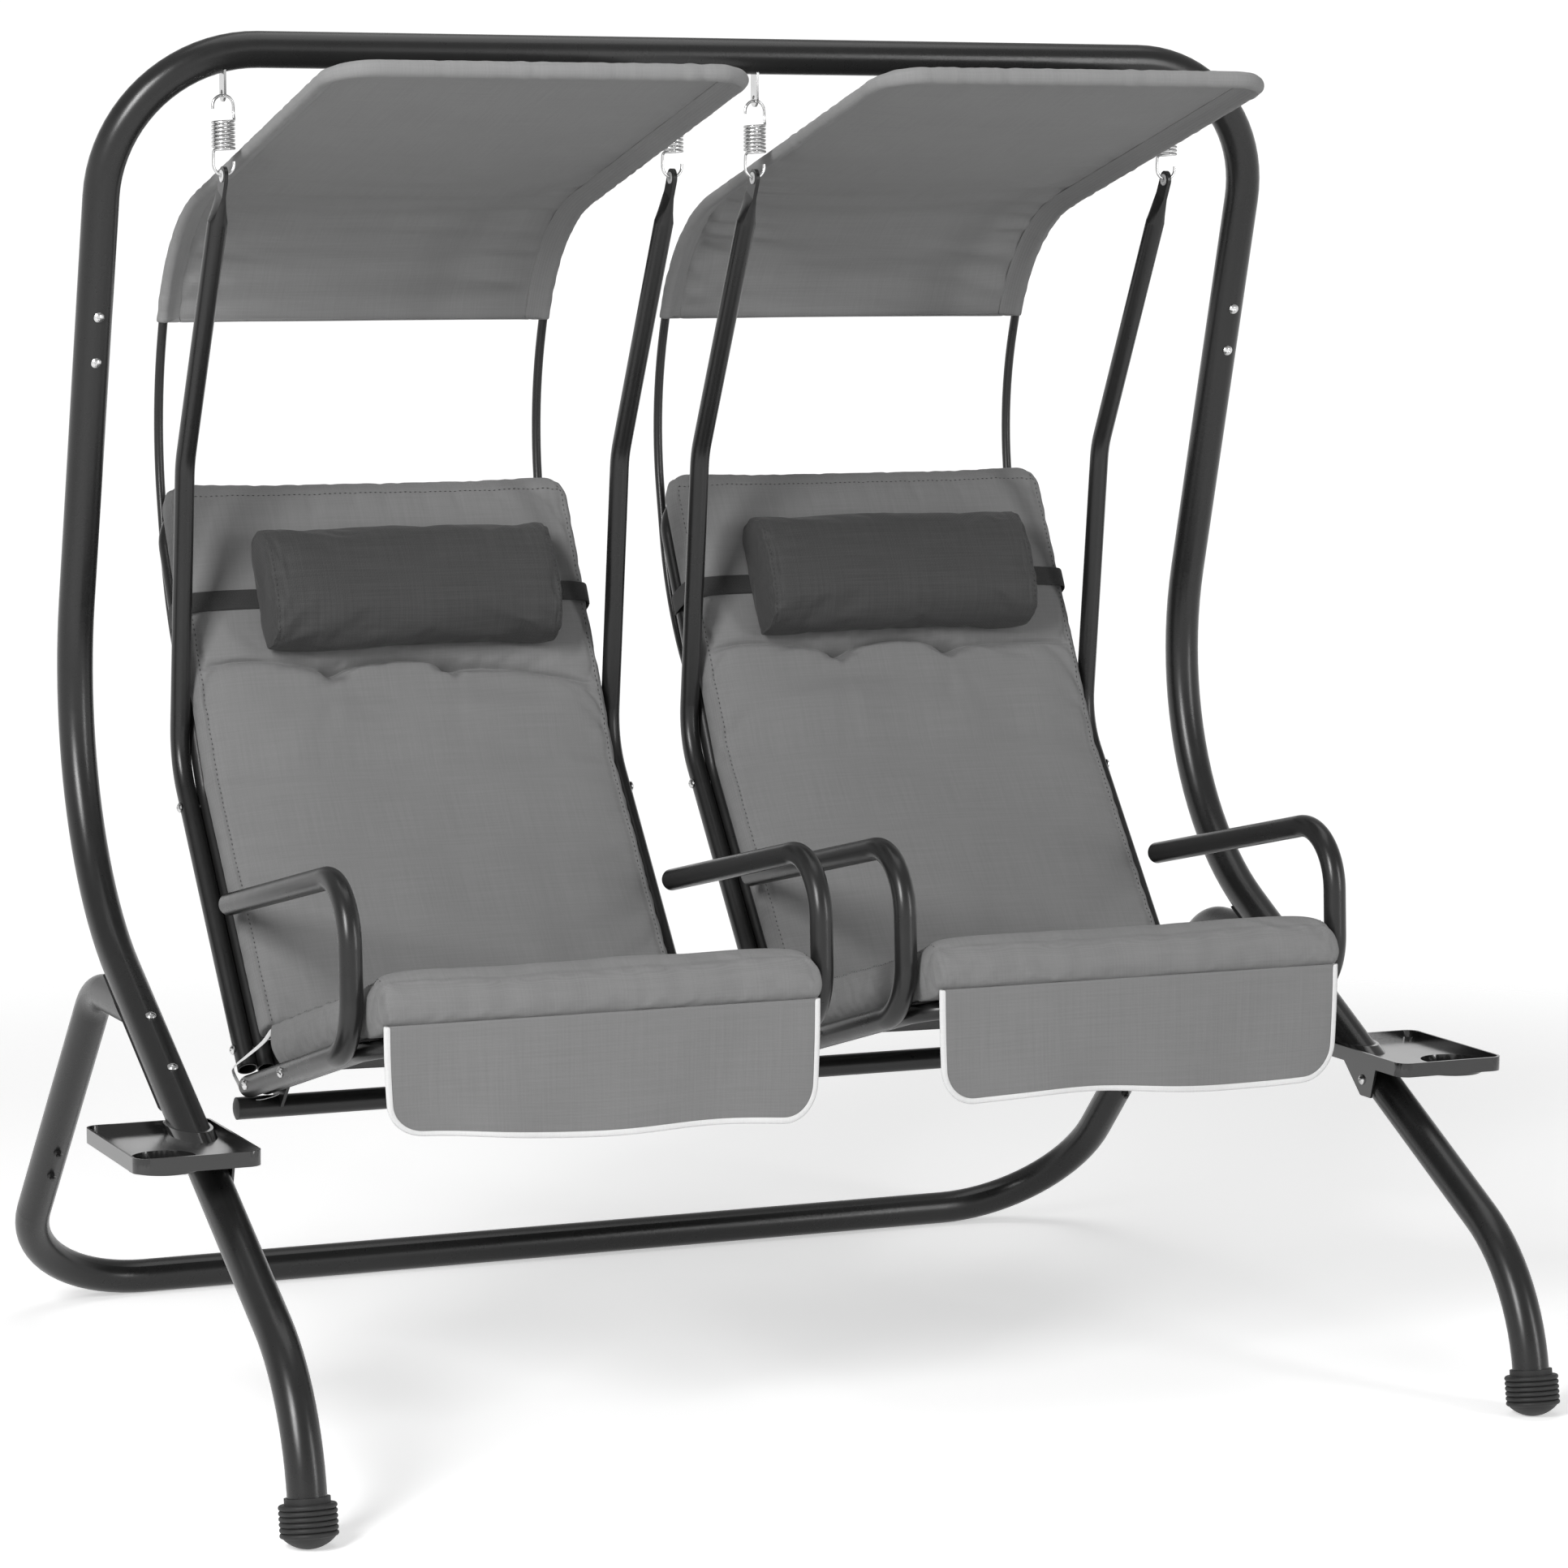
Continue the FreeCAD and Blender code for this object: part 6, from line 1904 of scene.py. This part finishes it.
@dataclass(frozen=True)
class Studio:
    """Camera, light and floor.

    Attributes:
        place: Where the camera stands.
        yaw: Its turn to the right, in degrees.
        pitch: Its tilt down, in degrees.
        roll: Its turn about its own axis, in degrees.
        lens: Focal length in millimetres.
        sensor: Width of the sensor in millimetres.
        floor_reach: Radius of the floor.
        floor_fade: Distances between which the floor fades out.
        floor_grey: Its colour.
        floor_glow: What the floor adds to its own brightness where it is seen.
        surround: Brightness of the surround low down and overhead.
        surround_band: Upward share of the way between which it changes.
        lit_share: Share of the surround's brightness that lights the object.
    """

    place: tuple = (-2.3717, -5.7443, 1.4663)
    yaw: float = 22.983
    pitch: float = 6.634
    roll: float = 0.065
    lens: float = 113.0
    sensor: float = 36.0
    floor_reach: float = 4.2
    floor_fade: tuple = (2.0, 4.0)
    floor_grey: float = 0.92
    floor_glow: float = 0.45
    surround: tuple = (1.06, 0.40)
    surround_band: tuple = (0.10, 0.45)
    lit_share: float = 0.45

    def build(self) -> None:
        """Set up the shot."""
        self.camera()
        self.floor()
        self.lights()

    def camera(self) -> None:
        """The camera at the photograph's place."""
        data = bpy.data.cameras.new("camera")
        data.lens = self.lens
        data.sensor_width = self.sensor
        data.clip_end = 100.0
        obj = bpy.data.objects.new("camera", data)
        bpy.context.scene.collection.objects.link(obj)
        turn = Matrix.Rotation(-math.radians(self.yaw), 4, "Z")
        tilt = Matrix.Rotation(math.radians(90 - self.pitch), 4, "X")
        roll = Matrix.Rotation(math.radians(self.roll), 4, "Z")
        obj.matrix_world = Matrix.Translation(Vector(self.place)) @ turn @ tilt @ roll
        bpy.context.scene.camera = obj

    def floor(self) -> None:
        """A plain pale floor that fades into the white surround."""
        sides = 96
        turns = [2 * math.pi * k / sides for k in range(sides)]
        rim = [(self.floor_reach * math.cos(turn), self.floor_reach * math.sin(turn), 0.0) for turn in turns]
        data = bpy.data.meshes.new("floor")
        data.from_pydata(rim, [], [tuple(range(sides))])
        obj = bpy.data.objects.new("floor", data)
        bpy.context.scene.collection.objects.link(obj)
        material = bpy.data.materials.new("floor")
        material.use_nodes = True
        tree = NodeTree(material.node_tree)
        shader = material.node_tree.nodes["Principled BSDF"]
        shader.inputs["Base Color"].default_value = (*[self.floor_grey] * 3, 1)
        shader.inputs["Roughness"].default_value = 0.8
        place = tree.add("ShaderNodeTexCoord").outputs["Object"]
        far = tree.add("ShaderNodeVectorMath", {0: place}, operation="LENGTH").outputs["Value"]
        near, gone = self.floor_fade
        ramp = {0: far, 1: near, 2: gone, 3: 1.0, 4: 0.0}
        fade = tree.add("ShaderNodeMapRange", ramp, interpolation_type="SMOOTHSTEP")
        tree.link(fade.outputs[0], shader.inputs["Alpha"])
        shader.inputs["Emission Color"].default_value = WHITE
        glow = tree.math("MULTIPLY", tree.seen(), self.floor_glow)
        tree.link(glow, shader.inputs["Emission Strength"])
        data.materials.append(material)

    def lights(self) -> None:
        """Soft boxes at both sides and above, in a surround that is white low down and dimmer overhead."""
        world = bpy.data.worlds.new("studio")
        world.use_nodes = True
        tree = NodeTree(world.node_tree)
        way = tree.add("ShaderNodeTexCoord").outputs["Generated"]
        up = tree.add("ShaderNodeSeparateXYZ", {0: way}).outputs["Z"]
        (low, high), (white, dim) = self.surround_band, self.surround
        level = tree.add("ShaderNodeMapRange", {0: up, 1: low, 2: high, 3: white, 4: dim}).outputs[0]
        sky = world.node_tree.nodes["Background"]
        sky.inputs["Color"].default_value = WHITE
        shown = tree.math("ADD", tree.math("MULTIPLY", tree.seen(), 1 - self.lit_share), self.lit_share)
        tree.link(tree.math("MULTIPLY", level, shown), sky.inputs["Strength"])
        bpy.context.scene.world = world
        for box in SOFT_BOXES:
            box.make()
        bpy.context.scene.view_settings.view_transform = "Standard"


def main() -> None:
    """Build the looks and log the point count of each rebuilt piece."""
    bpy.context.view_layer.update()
    finishes = Finishes()
    pieces = Stand().build(finishes)
    for seat in SEATS:
        pieces += seat.build(finishes)
    Studio().build()
    for piece in pieces:
        log.info("%s has %d points", piece.name, len(piece.data.vertices))


if __name__ == "__main__":
    main()
